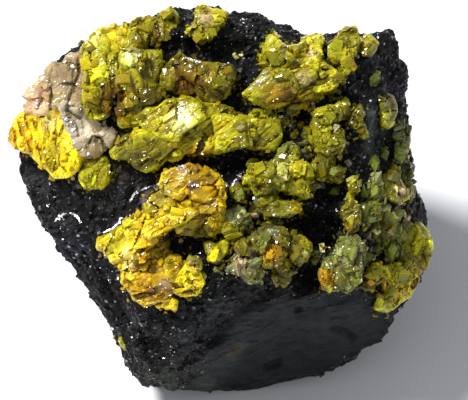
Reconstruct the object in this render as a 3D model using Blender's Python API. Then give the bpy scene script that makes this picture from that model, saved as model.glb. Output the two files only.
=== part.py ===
"""Orpiment specimen: masses of yellow orpiment crystals and a vein of pale calcite on a piece of dark rock.

The crystals grow on one broad face of the rock. That face leans back, and the places on it are given in mm
as (u, v, h): u to the right, v up the face, h out of it. Everything else is in metres, +Z up, with the origin
in the middle of the flat that the rock rests on.
"""

import math
import random
from collections import namedtuple

import bmesh
import bpy
from mathutils import Vector, noise
from mathutils.bvhtree import BVHTree

MM = 0.001

# ---------------------------------------------------------------- driving dimensions

FACE_TILT = math.radians(30)
FACE_CENTRE = Vector((0, -3, 27)) * MM
FACE_RIGHT = Vector((1, 0, 0))
FACE_UP = Vector((0, math.cos(FACE_TILT), math.sin(FACE_TILT)))
FACE_OUT = Vector((0, -math.sin(FACE_TILT), math.cos(FACE_TILT)))

GAP = 0.33 * MM              # clear space between the rock and what grows on it
ROCK_VOXEL = 0.9 * MM        # grain of the rock's first mesh
ROCK_TRIANGLES = 2800

BEVEL = 0.28                 # mm, how far a crystal's top edge stands in from its side
BEVEL_DROP = 0.45            # mm, how far down the side that edge starts
SINK = 2.2                   # mm, how deep a crystal reaches under the rock's surface
EDGE_JITTER = 0.1            # mm, unevenness of a crystal's outline
TOP_FOLLOWS = 0.6            # share of the rock's slope that a crystal's top follows
SIDES_FOLLOW = 0.5           # share of it that its sides lean by
STEEPEST = 1.4               # slope past which the rock's slope no longer counts
TUCKED_ROOT = 0.72           # width of the root of a crystal that hangs over the edge
RAY_START = 15               # mm, a height over the face that is clear of everything
STREWN_CORNERS = 6           # corners of a small strewn crystal, besides its root
STREWN_ROOT = 0.9            # depth of that root below the surface, in half-widths
STREWN_FOOTING = 0.7         # mm, least thickness of the crystal that one stands on
FLAT_ENOUGH = math.radians(3)   # neighbouring facets nearer than this in direction become one
KEPT_SHARE = 0.75            # share of a mass's triangles kept when its slivers are dropped

# ---------------------------------------------------------------- the rock

# The outer edge of the face, clockwise from the left.
ROCK_RIM = (
    (-24.0, 6.9, -4.0), (-22.3, 12.1, -4.0), (-18.1, 16.0, -4.0), (-15.7, 17.6, -4.0), (-8.9, 20.2, -4.0),
    (-1.9, 21.9, -5.0), (4.4, 19.7, -5.0), (14.3, 18.5, -5.0), (18.6, 18.0, -7.0), (21.2, 15.3, -9.0),
    (21.2, 10.4, -10.5), (21.9, 5.7, -11.0), (22.6, 1.1, -12.0), (23.5, -4.1, -12.0),
    (22.9, -8.5, -12.0), (20.3, -12.8, -13.0), (18.8, -16.0, -14.0), (14.1, -18.8, -16.0),
    (6.8, -21.5, -18.0), (2.9, -22.3, -18.5), (-1.5, -21.3, -17.0), (-7.3, -21.9, -15.0),
    (-9.1, -21.8, -13.0), (-15.4, -9.3, -8.0), (-20.1, -4.3, -7.0), (-23.5, 3.6, -5.0),
)
# Where the face turns over towards that edge.
ROCK_SHOULDER = (
    (-19.5, 9.9, -0.9), (-13.4, 15.4, -0.3), (-7.9, 17.6, -0.3), (-1.8, 18.7, -0.9), (6.4, 17.1, -0.8),
    (13.0, 15.4, -1.0), (16.2, 10.0, -1.6), (15.6, 2.2, -1.0), (15.8, -5.5, -1.4), (15.7, -9.9, -1.9),
    (8.6, -10.5, -0.7), (-0.8, -9.9, 0.0), (-5.7, -15.4, -4.0),
)
# The rest of the lump behind and under the face, as world places in mm.
ROCK_BACK = (
    (-12, 17, 20), (4, 20, 18), (17, 17, 16), (18, 4, 6), (14, -6, 4), (-17, 6, 16), (-18, 2, 14), (-13, -4, 8),
    (-9, 15, 8), (8, 16, 7),
)
# The foot, a little below the flat that is cut at z = 0.
ROCK_FOOT = ((-8, -9, -1), (3, -11.5, -1), (11, -6, -1), (13, 5, -1), (6, 11, -1), (-6, 10, -1), (-11, 2, -1))

# Hollows in the face: start and end (u, v), radius and depth, all in mm.
ROCK_HOLLOWS = (
    ((-7.5, 16.4), (3.5, 16.2), 1.5, 2.4),      # channel under the upper rim
    ((-4.2, 13.0), (-3.6, 13.2), 1.3, 1.2),     # under the arch
    ((-4.5, 4.3), (3.5, 4.3), 1.0, 1.8),        # below the central band
    ((-8.5, 0.5), (-11.0, -1.5), 1.5, 0.7),
    ((-5.5, -5.2), (-3.8, -5.0), 1.3, 1.5),     # under the ledge
    ((9.5, -3.4), (12.3, -3.6), 1.9, 3.2),      # deep holes in the right half
    ((9.3, -8.0), (9.9, -8.6), 1.5, 2.6),
    ((11.9, 0.4), (12.4, 1.6), 1.4, 2.4),
    ((8.7, 7.6), (9.0, 9.4), 1.0, 1.3),
    ((15.2, 4.0), (15.4, 6.5), 0.9, 0.8),
    ((11.3, 16.8), (11.4, 17.6), 0.8, 1.2),
    ((16.0, -5.6), (16.4, -3.2), 0.8, 1.0),
    ((5.5, -9.9), (-6.2, -18.6), 1.7, 1.0),     # groove down the lower front
)
# Notches broken out of the edge: place (u, v, h), radius, and the push (u, v) in mm.
ROCK_NOTCHES = (
    ((3.2, 20.9, -5.0), 2.4, (0.0, -0.8)),
    ((9.6, 19.0, -5.0), 2.6, (0.0, -0.9)),
    ((-17.6, -7.2, -8.0), 2.4, (0.9, 0.7)),
    ((-12.8, -13.4, -9.5), 2.8, (1.2, 0.6)),
    ((-12.0, -16.8, -11.0), 2.6, (1.2, 0.6)),
    ((20.9, 9.2, -10.5), 3.0, (-1.0, 0.0)),
    ((22.4, 3.4, -11.5), 3.8, (-2.0, 0.0)),
    ((-21.6, -0.8, -6.0), 2.4, (0.9, 0.3)),
    ((-20.6, 12.8, -4.0), 2.0, (0.5, -0.4)),
    ((16.0, 19.0, -5.5), 1.6, (-0.2, -0.6)),
)
# Broken flakes of the rock's surface: size of a flake and its lean, from coarse to fine.
ROCK_FLAKES = ((9.0 * MM, 0.35), (3.6 * MM, 0.45))
SMOOTH_FRONT = 0.4           # share of that relief left on the broad face low at the front
SMOOTH_FRONT_TOP = -11.0     # mm up the face where that one starts
SMOOTH_FRONT_SIDE = 15.0     # mm that it starts to the right of the groove's side
CELL_STIR = 97.0             # spreads neighbouring cells apart, so that each gets its own lean
ROCK_LUMP_SIZE = 2.4 * MM
ROCK_LUMP_HEIGHT = 0.5 * MM

# ---------------------------------------------------------------- the crystals

# A crystal with a flat top: how far the middle of its top stands above the rock, how much more its top
# slopes than the rock towards +u and towards +v, its outline (u, v), and, for one that hangs over the edge
# of the face, how far its root turns in towards the middle of the face.
Block = namedtuple("Block", "rise slope_u slope_v outline tuck", defaults=(0.0,))
# Small crystals strewn over a mass: how many, and their smallest and largest half-width in mm.
Strewn = namedtuple("Strewn", "count smallest largest")
Mass = namedtuple("Mass", "name material seed blocks strewn")

UPPER_LEFT = (
    # band along the upper edge, from its pale left end
    Block(2.1, 0.2, -0.1, ((-15.1, 16.6), (-14.4, 18.0), (-13.2, 18.7), (-12.6, 17.3), (-12.9, 15.8),
                           (-14.4, 15.4)), 0.6),
    Block(1.7, 0.05, -0.35, ((-13.1, 18.5), (-11.0, 19.2), (-9.8, 19.3), (-9.6, 17.4), (-10.6, 16.4),
                             (-12.4, 16.2)), 1.0),
    Block(1.5, -0.1, -0.2, ((-10.0, 19.2), (-9.0, 19.8), (-8.0, 20.1), (-7.2, 19.8), (-7.1, 19.2),
                            (-8.7, 18.3), (-9.0, 17.2), (-10.0, 16.9)), 1.0),
    Block(0.8, 0.0, 0.1, ((-8.8, 19.4), (-7.0, 19.5), (-5.8, 19.4), (-5.9, 18.0), (-7.2, 17.7), (-8.8, 17.8))),
    Block(1.3, 0.1, -0.2, ((-7.0, 19.6), (-6.6, 20.4), (-5.6, 20.9), (-5.2, 20.5), (-5.5, 18.9),
                           (-6.6, 18.7)), 0.6),
    # left column
    Block(2.0, 0.25, -0.15, ((-15.0, 16.5), (-13.4, 16.4), (-12.9, 14.6), (-13.5, 13.2), (-14.7, 13.2),
                             (-14.9, 15.0))),
    Block(2.3, 0.3, 0.1, ((-14.7, 13.5), (-13.3, 13.4), (-12.7, 11.6), (-12.7, 10.0), (-13.3, 9.3),
                          (-14.5, 9.3), (-14.8, 11.0))),
    # glittering patch and the lip below it
    Block(1.7, 0.1, -0.3, ((-13.4, 15.8), (-11.2, 15.9), (-10.6, 14.6), (-10.9, 13.0), (-12.6, 12.4),
                           (-13.6, 13.4))),
    Block(2.5, -0.1, -0.4, ((-13.3, 12.3), (-12.4, 12.9), (-10.9, 13.4), (-10.5, 12.9), (-11.6, 12.2),
                            (-12.9, 11.6))),
    # pale facet, olive block, olive columns
    Block(2.2, 0.3, -0.3, ((-11.0, 16.3), (-9.5, 16.3), (-9.4, 15.1), (-11.0, 14.8))),
    Block(1.9, -0.25, 0.15, ((-9.7, 16.1), (-7.0, 16.0), (-6.9, 15.0), (-7.4, 13.3), (-7.7, 12.7),
                             (-9.4, 12.8), (-9.9, 14.6))),
    Block(2.2, -0.1, 0.2, ((-11.1, 13.2), (-9.5, 14.1), (-8.9, 12.9), (-9.0, 10.8), (-9.3, 8.6),
                           (-10.9, 8.2), (-11.2, 10.0))),
    Block(1.7, -0.3, 0.1, ((-9.3, 13.2), (-7.8, 12.8), (-6.7, 12.1), (-6.7, 11.5), (-7.6, 10.8),
                           (-8.9, 10.4), (-9.4, 10.8))),
)
ARCH = (
    Block(1.5, -0.1, -0.2, ((-6.4, 12.7), (-6.3, 14.2), (-5.4, 15.2), (-4.4, 15.7), (-4.0, 14.7),
                            (-5.0, 13.9), (-5.6, 12.6))),
    Block(1.2, 0.0, 0.3, ((-6.0, 12.8), (-4.9, 11.8), (-3.5, 11.8), (-2.5, 12.3), (-2.7, 13.2), (-4.2, 12.6),
                          (-5.5, 13.1))),
    Block(2.1, 0.05, -0.35, ((-4.4, 15.3), (-3.0, 15.0), (-1.0, 14.7), (0.9, 14.6), (1.1, 13.8), (0.4, 12.8),
                             (-1.4, 12.6), (-2.9, 13.2), (-4.3, 14.3))),
    Block(1.6, -0.1, 0.4, ((-2.8, 13.5), (-0.2, 13.3), (0.6, 12.6), (0.3, 11.7), (-0.4, 11.3), (-1.3, 11.2),
                           (-2.4, 11.7))),
)
TOP = (
    Block(2.2, 0.1, -0.1, ((-2.9, 21.0), (-2.2, 21.7), (-1.6, 21.5), (-0.8, 21.1), (0.6, 20.8), (0.1, 19.9),
                           (-0.6, 19.2), (-1.7, 18.9), (-2.8, 19.1)), 1.2),
    Block(1.6, 0.0, -0.4, ((-3.7, 18.8), (-2.9, 19.4), (-1.5, 19.3), (-0.6, 19.2), (-0.9, 18.4), (-1.2, 17.8),
                           (-2.2, 17.5), (-3.0, 17.9))),
)
CENTRE = (
    # bright plate: striated left half, glaring right half, tongue
    Block(2.4, 0.25, -0.1, ((-9.2, 9.1), (-8.1, 9.9), (-6.9, 10.1), (-6.0, 10.8), (-5.1, 10.9), (-5.0, 8.0),
                            (-4.8, 6.6), (-6.6, 6.7), (-7.5, 7.1), (-8.2, 7.7), (-8.9, 8.3))),
    Block(2.9, 0.3, -0.38, ((-5.4, 10.9), (-3.6, 11.2), (-2.4, 10.8), (-2.0, 9.0), (-3.5, 8.0), (-4.3, 7.4),
                            (-4.9, 6.6), (-5.4, 8.0))),
    Block(1.4, 0.0, -0.3, ((-2.7, 10.8), (-1.2, 10.5), (0.6, 10.3), (-0.4, 9.6), (-2.3, 8.9))),
    # granular band
    Block(2.2, 0.1, -0.15, ((-4.9, 7.7), (-3.6, 8.3), (-1.2, 8.8), (-0.5, 8.9), (-0.3, 5.3), (-3.0, 5.0),
                            (-4.4, 5.3), (-4.9, 6.3))),
    Block(2.6, 0.1, -0.2, ((-1.0, 9.1), (0.2, 9.0), (2.7, 8.8), (2.8, 6.0), (1.0, 5.5), (-0.7, 5.1))),
    Block(2.2, 0.0, 0.05, ((2.4, 8.8), (4.4, 8.8), (6.2, 8.6), (6.5, 7.0), (5.8, 5.6), (3.0, 5.8), (2.3, 6.2))),
    Block(1.5, 0.1, -0.3, ((3.1, 9.2), (3.6, 9.9), (4.8, 9.9), (5.0, 9.2), (4.6, 8.4), (3.4, 8.3))),
    # olive block with its light left end and its brownish right end
    Block(1.6, 0.3, -0.2, ((-12.3, 5.4), (-11.5, 6.0), (-11.2, 6.6), (-9.7, 7.5), (-9.4, 5.5), (-9.8, 4.2),
                           (-10.3, 4.5), (-12.0, 4.6))),
    Block(2.4, -0.05, 0.12, ((-9.8, 7.4), (-8.6, 7.5), (-6.5, 6.9), (-6.1, 4.6), (-6.5, 3.9), (-7.4, 3.5),
                             (-8.3, 3.1), (-9.7, 3.8))),
    Block(1.9, -0.4, 0.1, ((-6.8, 7.0), (-5.0, 6.8), (-4.4, 6.3), (-4.2, 5.2), (-4.7, 4.6), (-5.6, 4.3),
                           (-6.4, 4.7))),
)
LOWER_LEFT = (
    # amber lump
    Block(2.6, 0.2, -0.35, ((-6.9, 1.8), (-6.5, 2.9), (-5.8, 3.4), (-5.0, 3.4), (-3.6, 3.8), (-3.1, 1.8),
                            (-4.4, 0.1), (-6.2, 0.7))),
    Block(3.0, -0.1, -0.05, ((-3.8, 3.8), (-2.4, 3.6), (-1.2, 3.2), (-0.4, 2.9), (0.1, 2.3), (0.2, 1.2),
                             (0.3, 0.2), (-1.6, -0.3), (-3.6, 0.1), (-3.9, 2.0))),
    Block(2.4, -0.05, -0.2, ((-6.5, 1.1), (-4.0, 1.3), (-2.6, 0.4), (0.2, 0.5), (0.0, -1.0), (-1.2, -1.4),
                             (-2.9, -1.3), (-5.2, -1.8), (-7.2, -1.8), (-8.3, -1.0), (-8.0, 0.2))),
    # ledge across the lump and the shaded block below it
    Block(3.3, 0.15, -0.45, ((-8.8, -3.4), (-8.4, -2.6), (-6.9, -1.9), (-4.9, -1.2), (-2.9, -0.8),
                             (-2.6, -1.4), (-3.6, -2.2), (-5.2, -2.9), (-6.7, -3.9), (-8.0, -4.2))),
    Block(1.6, -0.35, 0.3, ((-5.3, -2.4), (-2.8, -1.1), (0.1, -0.8), (0.2, -2.0), (0.1, -3.4), (-1.0, -3.9),
                            (-3.0, -3.8), (-4.9, -3.6))),
    # greenish left end
    Block(1.7, 0.3, -0.2, ((-13.8, -4.4), (-12.5, -3.6), (-10.4, -2.4), (-10.1, -4.4), (-10.6, -6.5),
                           (-12.0, -7.1), (-13.0, -5.9), (-13.6, -5.0))),
    Block(2.4, 0.1, -0.35, ((-10.8, -2.5), (-8.5, -1.3), (-7.4, -1.0), (-7.1, -2.6), (-7.3, -4.6),
                            (-8.5, -5.5), (-8.6, -6.5), (-10.7, -6.5), (-10.5, -4.2))),
    Block(1.2, 0.1, 0.3, ((-8.9, -4.1), (-6.8, -3.6), (-6.2, -4.8), (-6.4, -5.2), (-5.6, -5.9), (-6.0, -6.7),
                          (-8.9, -6.5))),
    # bright middle, shaded right end, amber foot
    Block(2.5, 0.1, -0.3, ((-11.6, -7.3), (-10.9, -6.1), (-8.6, -5.8), (-5.6, -6.0), (-4.9, -7.0),
                           (-5.6, -8.5), (-8.0, -9.0), (-10.6, -8.5))),
    Block(1.9, -0.35, 0.0, ((-5.9, -6.0), (-5.1, -6.2), (-3.9, -7.0), (-3.9, -8.2), (-4.4, -9.1),
                            (-6.0, -8.9), (-6.2, -7.2))),
    Block(3.0, 0.0, 0.15, ((-10.9, -8.0), (-8.0, -8.1), (-5.6, -8.0), (-5.3, -9.6), (-6.0, -10.9),
                           (-7.2, -11.3), (-8.7, -11.7), (-9.7, -11.0), (-10.2, -10.1), (-11.2, -9.1))),
    Block(1.5, 0.2, -0.2, ((-4.9, -8.3), (-3.4, -8.0), (-2.3, -8.2), (-2.0, -9.2), (-2.9, -10.3),
                           (-4.0, -10.7), (-5.3, -10.2), (-5.7, -9.1))),
    Block(1.6, 0.0, -0.2, ((-7.5, -10.7), (-5.6, -10.5), (-4.9, -11.2), (-5.1, -12.0), (-6.2, -12.0),
                           (-7.4, -11.6))),
    Block(1.5, -0.1, -0.1, ((-3.9, -6.9), (-3.5, -6.2), (-2.8, -6.1), (-2.3, -6.6), (-2.4, -7.4),
                            (-3.1, -7.8), (-4.0, -7.6))),
)
HEART = (
    Block(1.5, 0.35, -0.2, ((-2.2, -4.5), (-1.4, -4.4), (-0.7, -4.8), (-0.5, -5.6), (-1.0, -6.5),
                            (-1.8, -5.7))),
    Block(1.4, -0.2, -0.1, ((-0.9, -4.8), (0.3, -4.3), (0.9, -4.6), (0.6, -5.8), (-0.2, -6.8), (-1.0, -6.5))),
)
UPPER_RIGHT = (
    Block(2.6, 0.3, -0.3, ((4.7, 16.8), (5.2, 18.1), (5.8, 18.0), (6.4, 17.3), (7.2, 16.9), (7.6, 15.3),
                           (6.9, 14.6), (5.5, 14.4), (4.8, 15.0))),
    Block(2.4, -0.2, 0.2, ((7.0, 16.8), (8.3, 17.1), (9.1, 17.6), (9.3, 15.4), (8.3, 15.2), (7.3, 15.5))),
    Block(2.2, 0.25, -0.3, ((8.9, 17.5), (10.0, 17.9), (10.3, 18.3), (10.9, 18.2), (11.2, 17.6), (10.9, 17.0),
                            (10.9, 16.0), (10.5, 15.2), (9.0, 15.1))),
    # bright body
    Block(2.9, 0.05, -0.35, ((6.9, 15.4), (9.5, 15.6), (10.6, 15.5), (10.4, 13.5), (9.0, 12.8), (7.7, 13.0),
                             (6.8, 14.3))),
    Block(2.6, 0.1, -0.1, ((10.2, 15.4), (11.9, 14.6), (12.5, 14.2), (12.9, 13.4), (12.7, 12.6), (12.0, 12.1),
                           (11.2, 11.8), (9.9, 13.0))),
    Block(2.3, -0.15, 0.15, ((7.8, 13.4), (9.2, 13.3), (10.7, 13.1), (11.4, 11.9), (10.2, 11.2), (8.9, 11.0),
                             (8.1, 11.8))),
    # wedge with its three facets
    Block(2.6, 0.35, -0.35, ((2.2, 11.5), (3.0, 12.4), (3.8, 13.2), (4.6, 14.1), (5.4, 14.7), (6.5, 14.5),
                             (5.3, 12.4), (3.6, 11.3))),
    Block(3.2, 0.0, 0.0, ((3.4, 11.5), (5.2, 13.1), (6.2, 14.5), (7.4, 14.0), (8.0, 13.3), (8.2, 12.4),
                          (6.6, 11.2), (5.0, 10.9))),
    Block(2.0, -0.2, 0.6, ((3.0, 11.1), (4.2, 10.5), (5.0, 10.1), (6.0, 10.2), (7.0, 10.6), (7.9, 11.5),
                           (8.2, 12.4), (6.4, 12.0), (4.6, 11.6))),
    Block(1.4, -0.1, 0.2, ((8.3, 11.4), (9.6, 11.2), (9.5, 10.5), (8.3, 10.1), (7.2, 10.9))),
    Block(1.4, 0.2, -0.2, ((7.2, 9.6), (7.5, 10.6), (8.5, 10.7), (8.5, 9.6), (7.8, 9.3))),
)
UPPER_NUB = (
    Block(1.0, -0.1, 0.1, ((12.6, 15.9), (14.2, 15.9), (14.6, 14.8), (13.8, 13.9), (13.2, 14.3))),
    Block(2.0, 0.0, -0.25, ((11.8, 17.0), (12.6, 17.6), (13.6, 18.1), (13.8, 16.8), (13.4, 15.5),
                            (12.5, 15.5), (11.8, 16.0))),
    Block(2.2, -0.05, -0.2, ((13.0, 18.5), (13.8, 19.0), (14.8, 19.0), (15.0, 18.2), (15.0, 17.4),
                             (14.7, 16.3), (14.0, 15.5), (13.2, 15.8)), 0.8),
)
CORNER_NUB = (
    Block(1.3, 0.1, -0.2, ((15.8, 18.2), (16.4, 18.3), (17.3, 17.3), (17.0, 16.8), (16.4, 16.1),
                           (15.6, 16.1), (15.5, 16.6), (15.8, 17.4)), 0.6),
)
OVAL = (
    Block(1.2, 0.0, -0.1, ((16.4, 11.4), (17.0, 12.1), (18.2, 12.1), (19.0, 11.4), (19.5, 10.3), (19.3, 9.2),
                           (19.0, 8.3), (18.4, 7.9), (17.8, 8.3), (17.4, 9.0), (17.2, 10.2), (16.7, 11.0)), 0.6),
    Block(1.8, 0.1, -0.1, ((17.1, 11.2), (18.0, 11.5), (18.7, 10.6), (18.7, 9.4), (18.1, 8.7), (17.7, 10.0))),
)
RIGHT_UPPER = (
    Block(1.8, 0.1, -0.3, ((10.3, 9.6), (10.9, 10.1), (12.8, 10.2), (13.0, 9.4), (12.0, 8.3), (10.9, 8.4))),
    Block(1.5, 0.1, -0.1, ((10.1, 8.5), (11.0, 9.0), (11.9, 8.8), (11.6, 7.2), (10.3, 7.2))),
    Block(2.1, 0.1, -0.2, ((10.4, 6.6), (10.8, 7.7), (12.2, 8.1), (13.2, 7.6), (13.4, 6.4), (12.9, 5.4),
                           (11.5, 5.0), (10.6, 5.6))),
    Block(1.2, -0.1, 0.1, ((12.6, 10.4), (13.5, 10.6), (13.7, 9.6), (13.4, 8.9), (12.4, 9.2))),
)
BLADE = (
    Block(1.1, 0.1, -0.2, ((14.5, 9.0), (14.9, 9.4), (15.9, 8.4), (16.0, 7.2), (15.4, 6.9), (14.9, 7.9))),
    Block(1.6, -0.2, -0.1, ((15.2, 10.6), (15.5, 9.8), (15.5, 8.2), (14.9, 7.8), (14.0, 8.4), (14.3, 9.6))),
)
RIGHT_CENTRE = (
    Block(2.0, 0.1, -0.2, ((3.0, 3.9), (4.6, 4.1), (5.5, 3.5), (5.6, 2.1), (4.9, 1.0), (3.9, 0.9), (3.0, 2.1))),
    Block(2.3, 0.25, -0.25, ((5.3, 2.2), (6.4, 1.9), (7.4, 2.6), (8.1, 4.2), (8.2, 5.6), (7.8, 6.1), (6.8, 5.3),
                             (5.9, 4.6), (5.4, 3.5))),
    Block(1.9, 0.1, -0.2, ((7.0, 2.6), (7.6, 3.9), (9.2, 4.0), (9.9, 3.3), (9.3, 2.1), (9.7, 0.9), (9.3, 0.4),
                           (8.3, 0.8), (7.6, 1.2))),
    Block(1.4, 0.2, -0.2, ((5.6, 2.4), (6.8, 2.6), (6.9, 1.5), (6.3, 1.2), (5.8, 1.6))),
)
SMALL_LIT = (
    Block(1.5, 0.2, -0.2, ((1.0, 0.2), (1.1, 1.2), (1.8, 1.7), (2.4, 1.1), (2.4, 0.3), (1.7, 0.0))),
)
RIGHT_SMALL = (
    Block(0.9, 0.2, 0.0, ((9.9, 4.0), (10.6, 4.6), (11.4, 4.3), (11.0, 3.2), (10.4, 3.0))),
    Block(1.1, 0.0, 0.0, ((10.5, 3.6), (11.4, 4.6), (12.1, 4.2), (12.0, 3.0), (11.0, 2.2), (10.4, 2.6))),
    Block(1.3, 0.1, -0.1, ((11.4, 3.1), (12.2, 3.6), (12.9, 3.6), (13.3, 3.0), (13.0, 2.1), (11.8, 2.2))),
)
SMALL_NUB = (
    Block(1.3, 0.1, -0.2, ((14.0, 1.5), (14.3, 2.4), (14.8, 2.4), (15.1, 1.5), (14.7, 0.9), (14.1, 0.9))),
)
WEDGE = (
    Block(1.5, -0.2, 0.1, ((4.1, 0.1), (4.9, 0.5), (5.9, 0.4), (6.1, -0.5), (4.5, -0.9))),
    Block(2.1, 0.1, -0.35, ((4.3, -0.6), (5.8, -0.1), (8.9, -0.3), (8.5, -1.2), (7.4, -1.9), (6.0, -1.7),
                            (4.6, -1.8))),
)
MIDDLE_GRAINS = (
    Block(1.3, 0.1, -0.1, ((0.7, -1.5), (1.6, -0.9), (2.6, -1.4), (3.0, -2.3), (2.4, -3.3), (1.3, -3.7),
                           (0.6, -3.1))),
)
LOWER_CENTRE = (
    Block(2.2, 0.1, -0.2, ((4.9, -3.0), (6.0, -2.9), (7.0, -3.4), (7.3, -5.0), (6.4, -6.9), (5.0, -7.0),
                           (4.4, -5.6), (4.4, -4.2))),
    Block(1.3, 0.0, -0.2, ((1.4, -5.2), (2.0, -4.5), (3.2, -4.2), (4.7, -4.3), (4.7, -5.4), (3.0, -5.8),
                           (1.8, -5.8))),
    Block(2.0, 0.2, -0.2, ((7.2, -4.3), (8.6, -3.8), (9.4, -4.6), (9.6, -5.4), (9.4, -6.5), (8.2, -6.5),
                           (7.2, -5.6), (6.8, -4.9))),
    Block(1.1, -0.2, 0.1, ((6.0, -6.2), (7.2, -6.6), (7.4, -8.0), (7.3, -9.2), (6.6, -9.3), (6.1, -8.0))),
)
LOW_GRAINS = (
    Block(1.0, 0.0, -0.2, ((0.3, -7.5), (1.6, -7.1), (3.8, -6.6), (4.0, -7.3), (2.7, -7.9), (1.0, -8.1))),
    Block(1.2, 0.1, -0.1, ((2.1, -7.9), (2.4, -7.4), (3.6, -7.4), (4.2, -8.0), (4.0, -8.9), (2.8, -8.8))),
)
SMALL_BLOCK = (
    Block(1.9, 0.0, -0.2, ((13.3, -0.7), (14.2, -0.1), (15.0, -0.5), (15.1, -2.0), (14.9, -3.2), (14.0, -3.4),
                           (13.4, -2.5))),
)
LOWER_RIGHT = (
    Block(2.4, -0.2, -0.2, ((10.9, -8.0), (11.3, -7.1), (12.2, -6.5), (13.2, -6.5), (13.6, -8.0),
                            (13.3, -9.7), (12.0, -9.9), (11.0, -9.2))),
    Block(2.6, 0.1, -0.1, ((12.6, -6.2), (13.1, -5.0), (14.5, -4.1), (15.4, -4.8), (15.3, -7.0), (15.0, -8.9),
                           (14.0, -9.7), (12.9, -9.6), (12.8, -8.0))),
)
RIGHT_SIDE = (
    # olive crystal on the edge, striated block, pale foot
    Block(3.2, -0.1, -0.2, ((20.4, -4.9), (21.2, -3.1), (22.1, -2.6), (23.1, -3.6), (23.5, -5.2), (23.0, -7.4),
                            (22.0, -8.5), (20.8, -8.0)), 1.6),
    Block(1.7, -0.1, -0.1, ((18.0, -7.4), (20.0, -7.0), (21.6, -7.4), (22.1, -8.9), (21.0, -10.6),
                            (19.6, -11.6), (18.5, -12.5), (17.2, -12.1), (17.4, -10.0), (17.9, -8.4)), 1.2),
)
RIGHT_FOOT = (
    Block(1.4, 0.1, -0.2, ((15.9, -8.2), (16.4, -7.2), (17.3, -7.0), (17.5, -7.7), (17.3, -8.9), (16.4, -9.0))),
)
RIGHT_PALE = (
    Block(1.3, 0.1, -0.2, ((15.9, 0.6), (16.0, 2.9), (16.6, 3.4), (17.2, 2.6), (17.7, 0.9), (17.0, 0.1))),
)
RIGHT_EDGE = (
    Block(1.4, 0.1, -0.2, ((17.8, 3.9), (18.7, 4.0), (19.9, 2.1), (20.8, 0.2), (19.8, -0.4), (18.4, 0.4),
                           (17.7, 2.2))),
)
RIGHT_GREEN = (
    Block(1.3, 0.0, -0.2, ((16.9, -2.8), (17.8, -1.9), (19.0, -2.3), (19.2, -4.0), (18.3, -4.9), (17.0, -4.5))),
    Block(1.6, -0.2, 0.1, ((18.8, -3.4), (19.8, -3.0), (20.1, -4.4), (19.7, -6.3), (18.8, -6.0), (18.6, -4.6))),
)
RIGHT_GRAINS = (
    Block(1.4, -0.1, -0.1, ((15.5, -0.5), (16.8, -0.4), (17.3, -1.1), (17.0, -2.0), (16.3, -2.2), (15.6, -1.8))),
)
RIGHT_RIM = (
    Block(1.4, 0.0, -0.1, ((19.2, 5.3), (19.4, 7.0), (20.0, 8.6), (20.9, 8.3), (21.1, 6.6), (20.8, 5.2),
                           (19.9, 4.7)), 1.2),
)
LEFT = (
    # amber tip, striated middle, bright foot
    Block(1.5, 0.2, -0.2, ((-23.4, 6.9), (-22.8, 8.4), (-22.3, 9.3), (-20.3, 8.7), (-20.1, 6.4), (-21.0, 5.3),
                           (-22.8, 6.0)), 1.6),
    Block(1.5, 0.1, -0.15, ((-20.7, 8.6), (-19.3, 8.6), (-19.0, 9.6), (-17.8, 9.8), (-17.5, 7.4),
                            (-18.4, 4.2), (-19.4, 3.7), (-20.6, 4.9)), 1.0),
    Block(1.9, 0.2, -0.25, ((-18.2, 9.3), (-17.3, 8.9), (-16.9, 8.0), (-16.8, 6.6), (-16.5, 5.6),
                            (-16.0, 4.6), (-16.3, 3.6), (-17.0, 2.8), (-18.2, 2.6), (-19.2, 3.8),
                            (-18.7, 6.6)), 0.6),
)
LEFT_SMALL = (
    Block(1.4, 0.1, -0.3, ((-15.5, 2.3), (-15.3, 3.2), (-14.6, 3.7), (-14.4, 4.4), (-13.0, 4.6), (-12.7, 4.1),
                           (-12.7, 2.0), (-13.5, 1.5), (-15.1, 1.6))),
)
EDGE_CHIP = (
    Block(0.8, 0.1, 0.0, ((-11.6, -14.9), (-10.8, -14.9), (-10.4, -15.9), (-10.8, -16.9), (-11.5, -16.4)), 0.8),
)
CALCITE = (
    Block(1.5, -0.2, 0.1, ((-21.9, 10.2), (-21.0, 11.8), (-19.6, 13.3), (-18.4, 14.5), (-17.2, 14.4),
                           (-16.9, 12.6), (-17.2, 10.6), (-18.8, 9.9), (-20.4, 9.5)), 1.0),
    Block(1.4, 0.0, 0.1, ((-18.7, 14.0), (-17.6, 15.2), (-16.7, 15.9), (-15.7, 15.9), (-15.3, 14.0),
                          (-15.2, 11.8), (-15.2, 9.6), (-16.6, 9.4), (-17.6, 10.8), (-18.2, 12.4)), 0.6),
    Block(1.4, -0.2, -0.1, ((-17.2, 10.2), (-15.4, 9.9), (-14.3, 8.9), (-12.7, 8.1), (-11.8, 7.6),
                            (-12.1, 6.6), (-13.0, 5.5), (-14.6, 5.0), (-15.6, 5.2), (-16.1, 6.2),
                            (-16.6, 8.0))),
)

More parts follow.
